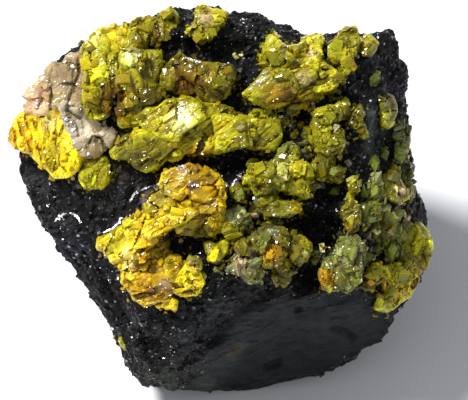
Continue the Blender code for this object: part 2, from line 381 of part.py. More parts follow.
MASSES = (
    Mass("orpiment_upper_left", "orpiment", 11, UPPER_LEFT, Strewn(13, 0.45, 0.85)),
    Mass("orpiment_arch", "orpiment", 12, ARCH, Strewn(3, 0.4, 0.65)),
    Mass("orpiment_top", "orpiment", 13, TOP, Strewn(2, 0.4, 0.65)),
    Mass("orpiment_centre", "orpiment", 14, CENTRE, Strewn(11, 0.4, 0.8)),
    Mass("orpiment_lower_left", "orpiment", 15, LOWER_LEFT, Strewn(13, 0.4, 0.85)),
    Mass("orpiment_heart", "orpiment", 16, HEART, Strewn(0, 0.3, 0.4)),
    Mass("orpiment_upper_right", "orpiment", 17, UPPER_RIGHT, Strewn(8, 0.4, 0.75)),
    Mass("orpiment_upper_nub", "orpiment", 18, UPPER_NUB, Strewn(3, 0.4, 0.75)),
    Mass("orpiment_corner_nub", "orpiment", 19, CORNER_NUB, Strewn(1, 0.3, 0.5)),
    Mass("orpiment_oval", "orpiment", 20, OVAL, Strewn(2, 0.4, 0.5)),
    Mass("orpiment_right_upper", "orpiment", 21, RIGHT_UPPER, Strewn(4, 0.4, 0.75)),
    Mass("orpiment_blade", "orpiment", 22, BLADE, Strewn(1, 0.3, 0.4)),
    Mass("orpiment_right_centre", "orpiment", 23, RIGHT_CENTRE, Strewn(5, 0.4, 0.75)),
    Mass("orpiment_small_lit", "orpiment", 24, SMALL_LIT, Strewn(1, 0.3, 0.4)),
    Mass("orpiment_right_small", "orpiment", 25, RIGHT_SMALL, Strewn(1, 0.3, 0.4)),
    Mass("orpiment_small_nub", "orpiment", 26, SMALL_NUB, Strewn(0, 0.3, 0.4)),
    Mass("orpiment_wedge", "orpiment", 27, WEDGE, Strewn(2, 0.3, 0.5)),
    Mass("orpiment_middle_grains", "orpiment", 28, MIDDLE_GRAINS, Strewn(2, 0.4, 0.55)),
    Mass("orpiment_lower_centre", "orpiment", 29, LOWER_CENTRE, Strewn(5, 0.4, 0.65)),
    Mass("orpiment_low_grains", "orpiment", 30, LOW_GRAINS, Strewn(2, 0.3, 0.4)),
    Mass("orpiment_small_block", "orpiment", 31, SMALL_BLOCK, Strewn(1, 0.3, 0.4)),
    Mass("orpiment_lower_right", "orpiment", 32, LOWER_RIGHT, Strewn(4, 0.4, 0.75)),
    Mass("orpiment_right_side", "orpiment", 33, RIGHT_SIDE, Strewn(4, 0.4, 0.75)),
    Mass("orpiment_right_edge", "orpiment", 34, RIGHT_EDGE, Strewn(1, 0.4, 0.6)),
    Mass("orpiment_right_foot", "orpiment", 41, RIGHT_FOOT, Strewn(0, 0.4, 0.6)),
    Mass("orpiment_right_pale", "orpiment", 42, RIGHT_PALE, Strewn(0, 0.4, 0.6)),
    Mass("orpiment_right_green", "orpiment", 35, RIGHT_GREEN, Strewn(1, 0.4, 0.6)),
    Mass("orpiment_right_grains", "orpiment", 43, RIGHT_GRAINS, Strewn(2, 0.4, 0.5)),
    Mass("orpiment_right_rim", "orpiment", 36, RIGHT_RIM, Strewn(0, 0.3, 0.4)),
    Mass("orpiment_left", "orpiment", 37, LEFT, Strewn(5, 0.4, 0.75)),
    Mass("orpiment_left_small", "orpiment", 38, LEFT_SMALL, Strewn(2, 0.4, 0.65)),
    Mass("orpiment_edge_chip", "orpiment", 39, EDGE_CHIP, Strewn(0, 0.3, 0.4)),
    Mass("calcite_vein", "calcite", 40, CALCITE, Strewn(0, 0.3, 0.5)),
)

# Base colour, roughness and metallic value of each material.
COLOURS = {
    "rock": ((0.018, 0.019, 0.021, 1.0), 0.45, 0.0),
    "orpiment": ((0.62, 0.52, 0.02, 1.0), 0.3, 0.0),
    "calcite": ((0.55, 0.42, 0.33, 1.0), 0.25, 0.0),
}

# ---------------------------------------------------------------- helpers


def on_face(u, v, h):
    """World point, in metres, of a place on the face given in mm."""
    return FACE_CENTRE + (u * FACE_RIGHT + v * FACE_UP + h * FACE_OUT) * MM


def face_place(point):
    """The (u, v, h) place, in mm, of a world point."""
    offset = (point - FACE_CENTRE) / MM
    return offset.dot(FACE_RIGHT), offset.dot(FACE_UP), offset.dot(FACE_OUT)


def clear_scene():
    for item in list(bpy.data.objects):
        bpy.data.objects.remove(item, do_unlink=True)


def make_material(name):
    colour, roughness, metallic = COLOURS[name]
    material = bpy.data.materials.new(name)
    material.use_nodes = True
    shader = material.node_tree.nodes["Principled BSDF"]
    shader.inputs["Base Color"].default_value = colour
    shader.inputs["Roughness"].default_value = roughness
    shader.inputs["Metallic"].default_value = metallic
    return material


def mesh_object(name, bm):
    """Object of a bmesh, which is freed."""
    bmesh.ops.recalc_face_normals(bm, faces=bm.faces)
    mesh = bpy.data.meshes.new(name)
    bm.to_mesh(mesh)
    bm.free()
    item = bpy.data.objects.new(name, mesh)
    bpy.context.scene.collection.objects.link(item)
    return item


def bake_modifiers(item):
    """Replace the object's mesh by its evaluated one and drop its modifiers."""
    bpy.context.view_layer.update()
    graph = bpy.context.evaluated_depsgraph_get()
    mesh = bpy.data.meshes.new_from_object(item.evaluated_get(graph))
    item.modifiers.clear()
    item.data = mesh


def nearest_on_segment(place, start, end):
    """Distance, in mm, from a (u, v) place to a segment of the face."""
    place, start, end = Vector(place), Vector(start), Vector(end)
    run = end - start
    share = max(0.0, min(1.0, (place - start).dot(run) / run.length_squared))
    return (place - start - run * share).length


# ---------------------------------------------------------------- rock


def rock_hull():
    """Closed convex lump through the rock's named places."""
    places = [on_face(*place) for place in ROCK_RIM + ROCK_SHOULDER]
    places += [Vector(place) * MM for place in ROCK_BACK + ROCK_FOOT]
    bm = bmesh.new()
    for place in places:
        bm.verts.new(place)
    hull = bmesh.ops.convex_hull(bm, input=bm.verts)
    inside = [vert for vert in hull["geom_interior"] if isinstance(vert, bmesh.types.BMVert)]
    bmesh.ops.delete(bm, geom=inside, context="VERTS")
    return mesh_object("matrix", bm)


def flake_height(point, size, lean):
    """Height of a broken surface made of small leaning planes, one for each cell of a random pattern."""
    cell = noise.voronoi(point / size)[1][0]
    direction = noise.cell_vector(cell * CELL_STIR) - Vector((0.5, 0.5, 0.5))
    return (point / size - cell).dot(direction) * lean * size


def hollow_depth(u, v):
    """Depth, in mm, that the hollows take away at a place on the face."""
    depth = 0.0
    for start, end, radius, deepest in ROCK_HOLLOWS:
        reach = nearest_on_segment((u, v), start, end) / radius
        if reach < 1.6:
            depth = max(depth, deepest * math.exp(-1.4 * reach ** 3))
    return depth


def notch_push(u, v, h):
    """Shift, in metres, of a place near the notches in the edge."""
    shift = Vector((0, 0, 0))
    for place, radius, (push_u, push_v) in ROCK_NOTCHES:
        reach = (Vector((u, v, h)) - Vector(place)).length / radius
        shift += (push_u * FACE_RIGHT + push_v * FACE_UP) * MM * math.exp(-reach ** 2)
    return shift


def roughen(bm):
    """Break the lump's planes into flakes and lumps, and sink the hollows and notches."""
    bm.normal_update()
    moves = []
    for vert in bm.verts:
        u, v, h = face_place(vert.co)
        height = ROCK_LUMP_HEIGHT * noise.noise(vert.co / ROCK_LUMP_SIZE)
        for size, lean in ROCK_FLAKES:
            height += flake_height(vert.co, size, lean)
        if v < SMOOTH_FRONT_TOP and u > v + SMOOTH_FRONT_SIDE and vert.normal.y < 0:
            height *= SMOOTH_FRONT
        move = vert.normal * height + notch_push(u, v, h)
        facing = max(0.0, vert.normal.dot(FACE_OUT))
        moves.append(move - FACE_OUT * MM * hollow_depth(u, v) * min(1.0, 1.6 * facing))
    for vert, move in zip(bm.verts, moves):
        vert.co += move


def cut_foot(bm):
    """Cut the lump off flat at z = 0."""
    geometry = bm.verts[:] + bm.edges[:] + bm.faces[:]
    cut = bmesh.ops.bisect_plane(bm, geom=geometry, plane_co=(0, 0, 0), plane_no=(0, 0, 1), clear_inner=True)
    edges = [edge for edge in cut["geom_cut"] if isinstance(edge, bmesh.types.BMEdge)]
    bmesh.ops.edgeloop_fill(bm, edges=edges)
    bmesh.ops.triangulate(bm, faces=bm.faces)


def even_mesh(item, voxel):
    """Rebuild the object's surface as one closed mesh of even faces."""
    remesh = item.modifiers.new("even_mesh", "REMESH")
    remesh.mode = "VOXEL"
    remesh.voxel_size = voxel
    bake_modifiers(item)


def edit_mesh(item, change):
    """Run a change on the object's mesh, in triangles."""
    bm = bmesh.new()
    bm.from_mesh(item.data)
    bmesh.ops.triangulate(bm, faces=bm.faces)
    change(bm)
    bm.to_mesh(item.data)
    bm.free()


def fewer_faces(item, ratio):
    """Keep a share of the object's triangles, dropping the least telling ones."""
    thin = item.modifiers.new("fewer_faces", "DECIMATE")
    thin.ratio = ratio
    bake_modifiers(item)


def make_rock():
    rock = rock_hull()
    even_mesh(rock, ROCK_VOXEL)
    edit_mesh(rock, roughen)
    even_mesh(rock, ROCK_VOXEL)
    triangles = sum(len(face.vertices) - 2 for face in rock.data.polygons)
    fewer_faces(rock, ROCK_TRIANGLES / triangles)
    edit_mesh(rock, cut_foot)
    return rock


def make_clearance(rock):
    """The rock swollen by the gap: it trims what grows on the rock."""
    bm = bmesh.new()
    bm.from_mesh(rock.data)
    bm.normal_update()
    moves = [vert.normal * GAP * vert.calc_shell_factor() for vert in bm.verts]
    for vert, move in zip(bm.verts, moves):
        vert.co += move
    cutter = mesh_object("rock_clearance", bm)
    cutter.hide_render = True
    cutter.display_type = "WIRE"
    return cutter


# ---------------------------------------------------------------- crystals


def surface_height(tree, u, v):
    """Height, in mm, of the outermost surface over a place on the face."""
    hit = tree.ray_cast(on_face(u, v, RAY_START), -FACE_OUT)[0]
    return face_place(hit)[2]


def rock_slope(tree, outline):
    """Slope of the rock under an outline: its rise per mm towards +u and towards +v."""
    normal = Vector()
    for u, v in outline:
        hit_normal = tree.ray_cast(on_face(u, v, RAY_START), -FACE_OUT)[1]
        normal += hit_normal or Vector()
    slopes = (-normal.dot(axis) / normal.dot(FACE_OUT) for axis in (FACE_RIGHT, FACE_UP))
    return [max(-STEEPEST, min(STEEPEST, slope)) for slope in slopes]


def outline_middle(outline):
    count = len(outline)
    return sum(u for u, v in outline) / count, sum(v for u, v in outline) / count


def block_mesh(block, rock_tree, rng):
    """Closed mesh of one flat-topped crystal."""
    middle_u, middle_v = outline_middle(block.outline)
    ground = surface_height(rock_tree, middle_u, middle_v)
    top = ground + block.rise
    radius = sum(math.hypot(u - middle_u, v - middle_v) for u, v in block.outline) / len(block.outline)
    uneven = [(u + rng.uniform(-EDGE_JITTER, EDGE_JITTER), v + rng.uniform(-EDGE_JITTER, EDGE_JITTER))
              for u, v in block.outline]
    rock_u, rock_v = rock_slope(rock_tree, block.outline)
    slope_u = block.slope_u + TOP_FOLLOWS * rock_u
    slope_v = block.slope_v + TOP_FOLLOWS * rock_v
    depth = block.rise + SINK + block.tuck
    root = SIDES_FOLLOW * depth * Vector((rock_u, rock_v)) - Vector((middle_u, middle_v)).normalized() * block.tuck
    rings = (
        (1.0 - BEVEL / radius, 0.0, (0.0, 0.0)),
        (1.0, -BEVEL_DROP, (0.0, 0.0)),
        (TUCKED_ROOT if block.tuck else 1.0, -depth, root),
    )
    bm = bmesh.new()
    loops = []
    for scale, drop, (shift_u, shift_v) in rings:
        loop = []
        for u, v in uneven:
            du = (u - middle_u) * scale
            dv = (v - middle_v) * scale
            height = top + drop + du * slope_u + dv * slope_v
            loop.append(bm.verts.new(on_face(middle_u + du + shift_u, middle_v + dv + shift_v, height)))
        loops.append(loop)
    count = len(uneven)
    bm.faces.new(loops[0])
    bm.faces.new(reversed(loops[-1]))
    for upper, lower in zip(loops, loops[1:]):
        for i in range(count):
            following = (i + 1) % count
            bm.faces.new((upper[i], lower[i], lower[following], upper[following]))
    bmesh.ops.triangulate(bm, faces=bm.faces)
    return bm


def inside_margin(place, outline):
    """How far, in mm, a place lies inside an outline; negative outside."""
    place = Vector(place)
    inside = False
    nearest = math.inf
    for start, end in zip(outline, outline[1:] + outline[:1]):
        nearest = min(nearest, nearest_on_segment(place, start, end))
        if (start[1] > place.y) != (end[1] > place.y):
            crossing = start[0] + (place.y - start[1]) * (end[0] - start[0]) / (end[1] - start[1])
            if crossing > place.x:
                inside = not inside
    return nearest if inside else -nearest


def strewn_mesh(place, height, radius, rng):
    """Small faceted crystal half sunk in the surface."""
    u, v = place
    long_way = Vector([rng.gauss(0, 1) for axis in range(3)]).normalized()
    bm = bmesh.new()
    bm.verts.new(on_face(u, v, height - STREWN_ROOT * radius))
    for corner in range(STREWN_CORNERS):
        direction = Vector([rng.gauss(0, 1) for axis in range(3)]).normalized()
        direction += long_way * direction.dot(long_way) * 0.5
        bm.verts.new(on_face(u, v, height) + direction * radius * MM)
    hull = bmesh.ops.convex_hull(bm, input=bm.verts)
    inside = [vert for vert in hull["geom_interior"] if isinstance(vert, bmesh.types.BMVert)]
    bmesh.ops.delete(bm, geom=inside, context="VERTS")
    return bm


def strew(mass, tree, rock_tree, rng):
    """Meshes of the small crystals on a mass, kept inside its blocks' outlines."""
    meshes = []
    while len(meshes) < mass.strewn.count:
        block = rng.choice(mass.blocks)
        radius = rng.uniform(mass.strewn.smallest, mass.strewn.largest)
        corners_u = [u for u, v in block.outline]
        corners_v = [v for u, v in block.outline]
        place = (rng.uniform(min(corners_u), max(corners_u)), rng.uniform(min(corners_v), max(corners_v)))
        if inside_margin(place, block.outline) < 0.9 * radius:
            continue
        height = surface_height(tree, *place)
        if height - surface_height(rock_tree, *place) > STREWN_FOOTING:
            meshes.append(strewn_mesh(place, height, radius, rng))
    return meshes


def boolean(item, operation, operand):
    """Cut or join an object with another, or with a collection of others, and keep the result."""
    modifier = item.modifiers.new(operation.lower(), "BOOLEAN")
    modifier.operation = operation
    modifier.solver = "EXACT"
    modifier.use_self = True
    if isinstance(operand, bpy.types.Collection):
        modifier.operand_type = "COLLECTION"
        modifier.collection = operand
    else:
        modifier.object = operand
    bake_modifiers(item)


def merge_flat_facets(bm):
    bmesh.ops.dissolve_limit(bm, angle_limit=FLAT_ENOUGH, verts=bm.verts, edges=bm.edges)
    bmesh.ops.triangulate(bm, faces=bm.faces)


def drop_crumbs(bm):
    """Keep the largest of the separate bodies that trimming left."""
    waiting = set(bm.verts)
    bodies = []
    while waiting:
        body = {waiting.pop()}
        edge_of_body = list(body)
        while edge_of_body:
            vert = edge_of_body.pop()
            new = {edge.other_vert(vert) for edge in vert.link_edges} & waiting
            waiting -= new
            body |= new
            edge_of_body.extend(new)
        bodies.append(body)
    largest = max(bodies, key=len)
    crumbs = [vert for vert in bm.verts if vert not in largest]
    bmesh.ops.delete(bm, geom=crumbs, context="VERTS")


def simplify(item):
    """Join neighbouring facets that lie almost in one plane, and drop crumbs and the thinnest slivers."""
    edit_mesh(item, drop_crumbs)
    edit_mesh(item, merge_flat_facets)
    fewer_faces(item, KEPT_SHARE)


def grow_mass(mass, rock_tree, clearance):
    """One solid of all a mass's crystals, trimmed to stand just clear of the rock."""
    rng = random.Random(mass.seed)
    blocks = [block_mesh(block, rock_tree, rng) for block in mass.blocks]
    joined = bmesh.new()
    for bm in blocks:
        scratch = bpy.data.meshes.new("scratch")
        bm.to_mesh(scratch)
        joined.from_mesh(scratch)
        bpy.data.meshes.remove(scratch)
    tree = BVHTree.FromBMesh(joined)
    joined.free()
    pieces = [mesh_object("piece", bm) for bm in blocks + strew(mass, tree, rock_tree, rng)]
    body = pieces[0]
    others = bpy.data.collections.new("others")
    for piece in pieces[1:]:
        others.objects.link(piece)
    if pieces[1:]:
        boolean(body, "UNION", others)
    boolean(body, "DIFFERENCE", clearance)
    simplify(body)
    for piece in pieces[1:]:
        bpy.data.objects.remove(piece, do_unlink=True)
    bpy.data.collections.remove(others)
    body.name = mass.name
    body.data.name = mass.name
    return body


def main():
    clear_scene()
    materials = {name: make_material(name) for name in COLOURS}
    rock = make_rock()
    rock.data.materials.append(materials["rock"])
    rock_tree = BVHTree.FromObject(rock, bpy.context.evaluated_depsgraph_get())
    clearance = make_clearance(rock)
    for mass in MASSES:
        body = grow_mass(mass, rock_tree, clearance)
        body.data.materials.clear()
        body.data.materials.append(materials[mass.material])


main()
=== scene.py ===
"""Looks of the orpiment specimen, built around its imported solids.

Places on the crystal-covered face are (u, v, h): u to the right, v up the face and h above it. The face leans
forward by FACE_TILT from facing straight up. Lengths are in mm, turns over the face in degrees from u, and
random numbers from 0 to 1, unless a comment says otherwise. Points and surfaces of meshes are in metres.
"""

import math
from collections import namedtuple

import bmesh
import bpy
import numpy as np
from mathutils import Matrix, Vector
from mathutils.bvhtree import BVHTree


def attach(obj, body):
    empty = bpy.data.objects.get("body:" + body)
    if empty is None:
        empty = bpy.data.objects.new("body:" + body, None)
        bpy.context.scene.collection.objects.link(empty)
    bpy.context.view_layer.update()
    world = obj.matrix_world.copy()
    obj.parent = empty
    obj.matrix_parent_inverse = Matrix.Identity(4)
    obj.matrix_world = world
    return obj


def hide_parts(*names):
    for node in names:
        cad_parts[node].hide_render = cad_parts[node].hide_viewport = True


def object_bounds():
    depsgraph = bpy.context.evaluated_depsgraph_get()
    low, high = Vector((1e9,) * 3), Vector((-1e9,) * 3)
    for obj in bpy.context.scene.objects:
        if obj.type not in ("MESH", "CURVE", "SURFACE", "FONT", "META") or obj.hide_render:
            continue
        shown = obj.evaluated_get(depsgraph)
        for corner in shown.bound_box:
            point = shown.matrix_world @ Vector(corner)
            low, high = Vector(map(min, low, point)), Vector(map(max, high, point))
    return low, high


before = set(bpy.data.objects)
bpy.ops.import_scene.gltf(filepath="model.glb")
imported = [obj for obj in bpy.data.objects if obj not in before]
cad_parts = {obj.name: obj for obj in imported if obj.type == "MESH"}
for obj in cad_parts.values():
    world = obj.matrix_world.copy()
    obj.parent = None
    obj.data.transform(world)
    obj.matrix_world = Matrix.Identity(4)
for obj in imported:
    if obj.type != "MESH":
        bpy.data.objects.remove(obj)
cad_box = [list(corner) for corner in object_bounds()]

MM = 0.001

# ---- the face and the view

FACE_TILT = math.radians(30)
FACE_MIDDLE = np.array((0.0, -3.0, 27.0))
FACE_RIGHT = np.array((1.0, 0.0, 0.0))
FACE_UP = np.array((0.0, math.cos(FACE_TILT), math.sin(FACE_TILT)))
FACE_OUT = np.array((0.0, -math.sin(FACE_TILT), math.cos(FACE_TILT)))
FACE_AXES = np.array((FACE_RIGHT, FACE_UP, FACE_OUT))
ABOVE_FACE = 15.0  # an h clear of every crystal

CAMERA_DISTANCE = 429.0
CAMERA_SHIFT = 1.32  # to the right of the face's middle
CAMERA_LENS = 300.0
CAMERA_CLIP = 0.01  # m
SUN_FROM = (-0.5, 0.22, 0.82)
SUN_STRENGTH = 4.8
SUN_ANGLE = math.radians(15)
GLARE_FACING = (-0.283, 0.339, 0.897)  # (u, v, h) of a facet that shows the sun to the camera
SKY_COLOUR = (0.82, 0.84, 0.88)
SKY_STRENGTH = 0.5
FLOOR_COLOUR = (0.8, 0.8, 0.82)
FLOOR_SIZE = 1.5  # m from its middle to its edge

# ---- sizes of the detail

CRYSTAL_VOXEL = 0.15  # size of the faces that crystals are built of
ROCK_VOXEL = 0.34
SAME_POINT = 0.001  # points closer than this are one
ROCK_SWELL = 0.36  # how far the rock grows beside the crystals
SWELL_REACH = (0.4, 1.2)  # from them, where that starts to fall and ends
ROCK_SINK = 0.12  # how far the rock moves in under its grains
FOOT_HEIGHT = 0.05  # points of the rock below this stay on the floor
GRAINLESS_HEIGHT = 0.4  # no grains stand below this
BOX_MARGIN = 0.4  # how far the looks may leave the solids' box

# How a surface breaks into small planes: its stretch along (u, v, h), the planes' size, how much they lean,
# the steps between them, and the seed of their places.
Planes = namedtuple("Planes", "stretch size lean step seed")
BOLD = Planes((1, 0.55, 0.8), 1.9, 0.5, 0.35, 10)
PLAIN = Planes((1, 0.4, 0.8), 0.85, 0.35, 0.25, 11)
SMALL = Planes((1, 0.35, 1), 0.4, 0.2, 0.2, 12)
LEAF_WANDER = Planes((1, 1, 1), 1.6, 0.3, 0.3, 41)
ROCK_BROAD = Planes((1, 1, 1), 1.6, 0.2, 0.1, 21)
ROCK_FINE = Planes((1, 1, 1), 0.6, 0.35, 0.35, 22)
SLATE_STREAKS = Planes((0.15, 1, 1), 0.9, 0.14, 0.05, 23)
CALCITE_BROAD = Planes((1, 1, 1), 1.8, 0.4, 0.15, 31)
CALCITE_FINE = Planes((1, 1, 1), 0.7, 0.3, 0.12, 32)

# ---- colours, linear

LEMON = (0.68, 0.56, 0.012)
LIME = (0.33, 0.285, 0.006)
GREEN_GOLD = (0.23, 0.21, 0.005)
OLIVE = (0.15, 0.125, 0.003)
DARK_OLIVE = (0.07, 0.054, 0.002)
GOLD = (0.62, 0.42, 0.006)
AMBER = (0.52, 0.27, 0.003)
BROWN = (0.14, 0.05, 0.002)
PALE = (0.85, 0.8, 0.3)
PINKISH = (0.62, 0.44, 0.28)
SAGE = (0.155, 0.16, 0.045)
LEAF = (0.17, 0.18, 0.025)
MOSS = (0.12, 0.137, 0.015)
DULL = (0.09, 0.08, 0.04)
# Near black: grime and also painted shade, at the masses' roots and as dark crystals in the crusts' crevices.
GRIME_AND_SHADE = (0.012, 0.01, 0.005)
ROCK = (0.006, 0.006, 0.006)
SLATE = (0.004, 0.0055, 0.0065)
VIOLET = (0.03, 0.022, 0.04)
GLASSY = (0.16, 0.15, 0.16)

# ---- crystals

# A mass of crystals: its colour, how strongly its faces break into large and into fine planes, its blocks and
# small crystals on each square mm, and how far its sides grow. A mass of parallel leaves also has the
# direction across them, their thickness, and how strongly they show.
Look = namedtuple("Look", "colour bold fine blocks strewn grow leaves", defaults=[None])
LOOKS = {
    "upper_left": Look(LIME, 1, 0.7, 0.4, 0.3, 0.45, (8, 0.8, 1)),
    "arch": Look(OLIVE, 1, 0.6, 0.35, 0.25, 0.45, (30, 0.7, 0.6)),
    "top": Look(LIME, 0.8, 0.6, 0.3, 0.3, 0.1),
    "centre": Look(LIME, 0.7, 0.4, 0.2, 0.4, 0.2, (130, 0.5, 0.6)),
    "lower_left": Look(GOLD, 0.8, 0.55, 0.25, 0.6, 0.1, (115, 0.6, 0.6)),
    "heart": Look(LIME, 0.2, 0.2, 0, 0, 0, (20, 0.5, 0.5)),
    "upper_right": Look(LIME, 0.5, 0.4, 0.15, 0.35, 0.2, (110, 0.6, 1.3)),
    "upper_nub": Look(LIME, 0.7, 0.5, 0.3, 0.35, 0.2),
    "corner_nub": Look(LIME, 0.5, 0.6, 0.3, 0.3, 0.2),
    "oval": Look(OLIVE, 0.3, 0.4, 0, 0, 0.1, (80, 0.62, 1.4)),
    "right_upper": Look(GREEN_GOLD, 1, 1, 0.8, 1.4, 0.2, (60, 0.5, 0.6)),
    "blade": Look(OLIVE, 0.7, 0.8, 0.4, 0.8, 0.1),
    "right_centre": Look(GREEN_GOLD, 1, 1, 0.8, 1.4, 0.2),
    "small_lit": Look(OLIVE, 0.5, 0.6, 0.4, 0.5, 0.1),
    "right_small": Look(OLIVE, 1, 1, 0.8, 1, 0.3),
    "small_nub": Look(GREEN_GOLD, 0.8, 0.8, 0.5, 1, 0.1),
    "wedge": Look(GREEN_GOLD, 0.4, 0.5, 0.2, 0.4, 0.1, (75, 0.45, 0.8)),
    "middle_grains": Look(SAGE, 1, 1, 0.8, 1.4, 0.3),
    "lower_centre": Look(OLIVE, 1, 0.9, 0.5, 0.8, 0.2),
    "low_grains": Look(SAGE, 1, 1, 0.8, 1.4, 0.3),
    "small_block": Look(OLIVE, 0.8, 0.8, 0.4, 0.8, 0.1, (80, 0.5, 0.8)),
    "lower_right": Look(LEAF, 0.9, 0.9, 0.4, 1.2, 0.2),
    "right_side": Look(LIME, 0.5, 0.35, 0.15, 0.25, 0.2, (25, 0.5, 1.2)),
    "right_edge": Look(LIME, 0.4, 0.35, 0.15, 0.25, 0.1, (30, 0.5, 1)),
    "right_foot": Look(LIME, 0.5, 0.35, 0.15, 0.25, 0.1, (25, 0.5, 1.2)),
    "right_pale": Look(LEAF, 0.8, 0.9, 0.5, 0.6, 0.3),
    "right_green": Look(MOSS, 0.8, 0.9, 0.5, 0.6, 0.3),
    "right_grains": Look(MOSS, 1, 1, 0.6, 0.8, 0.3),
    "right_rim": Look(SAGE, 0.5, 0.5, 0.3, 0.3, 0.1, (75, 0.5, 1)),
    "left": Look(GOLD, 0.5, 0.35, 0.15, 0.3, 0.45, (12, 0.9, 1.3)),
    "left_small": Look(LIME, 0.6, 0.6, 0.3, 0.4, 0.4),
    "edge_chip": Look(LIME, 0.6, 0.6, 0, 0, 0.1),
}
BLOCK_RADII = (0.36, 0.95)
STREWN_RADII = (0.15, 0.42)
CALM_SHARE = 0.85  # how much of the relief is gone in a calm place
PLANE_SHADES = (0.4, 0.35, 0.3)  # how much a bold, plain or small plane can differ
LEAF_SHADE = 0.25  # and a leaf
GREEN_SHIFT = 0.25  # how much more of that the green gets
# Painted shade: how much darker a crystal is for each mm down a hollow, by the rounds of softening that show
# the hollow.
PAINTED_HOLLOW_SHADES = {3: 5.5, 14: 1.6}
PAINTED_GAP_SHADE = 0.3  # and painted shade in the gap between two leaves
# Darkest and lightest of the painted shade: darker in hollows, and lighter on ridges as painted light.
PAINTED_SHADE_LIMITS = (0.2, 1.3)
PAINTED_SHADE_POWERS = np.array((0.75, 1.1, 1.3))  # red falls least, so the painted shade in hollows is amber, a painted glow of light through the crystal
GRIME_AND_SHADE_REACH = 0.7  # from the rock, over which a mass darkens with grime and painted shade

LEAF_RISE = 0.3  # how much of the direction across leaves is upwards
LEAF_RELIEF = 0.7
LEAF_SLOPE = 0.35  # slope of a leaf's edge
LEAF_STEP = 0.5  # largest step between two leaves, in thicknesses
LEAF_GAP = 0.16  # width of the gap between two, in thicknesses
LEAF_SEED = 42

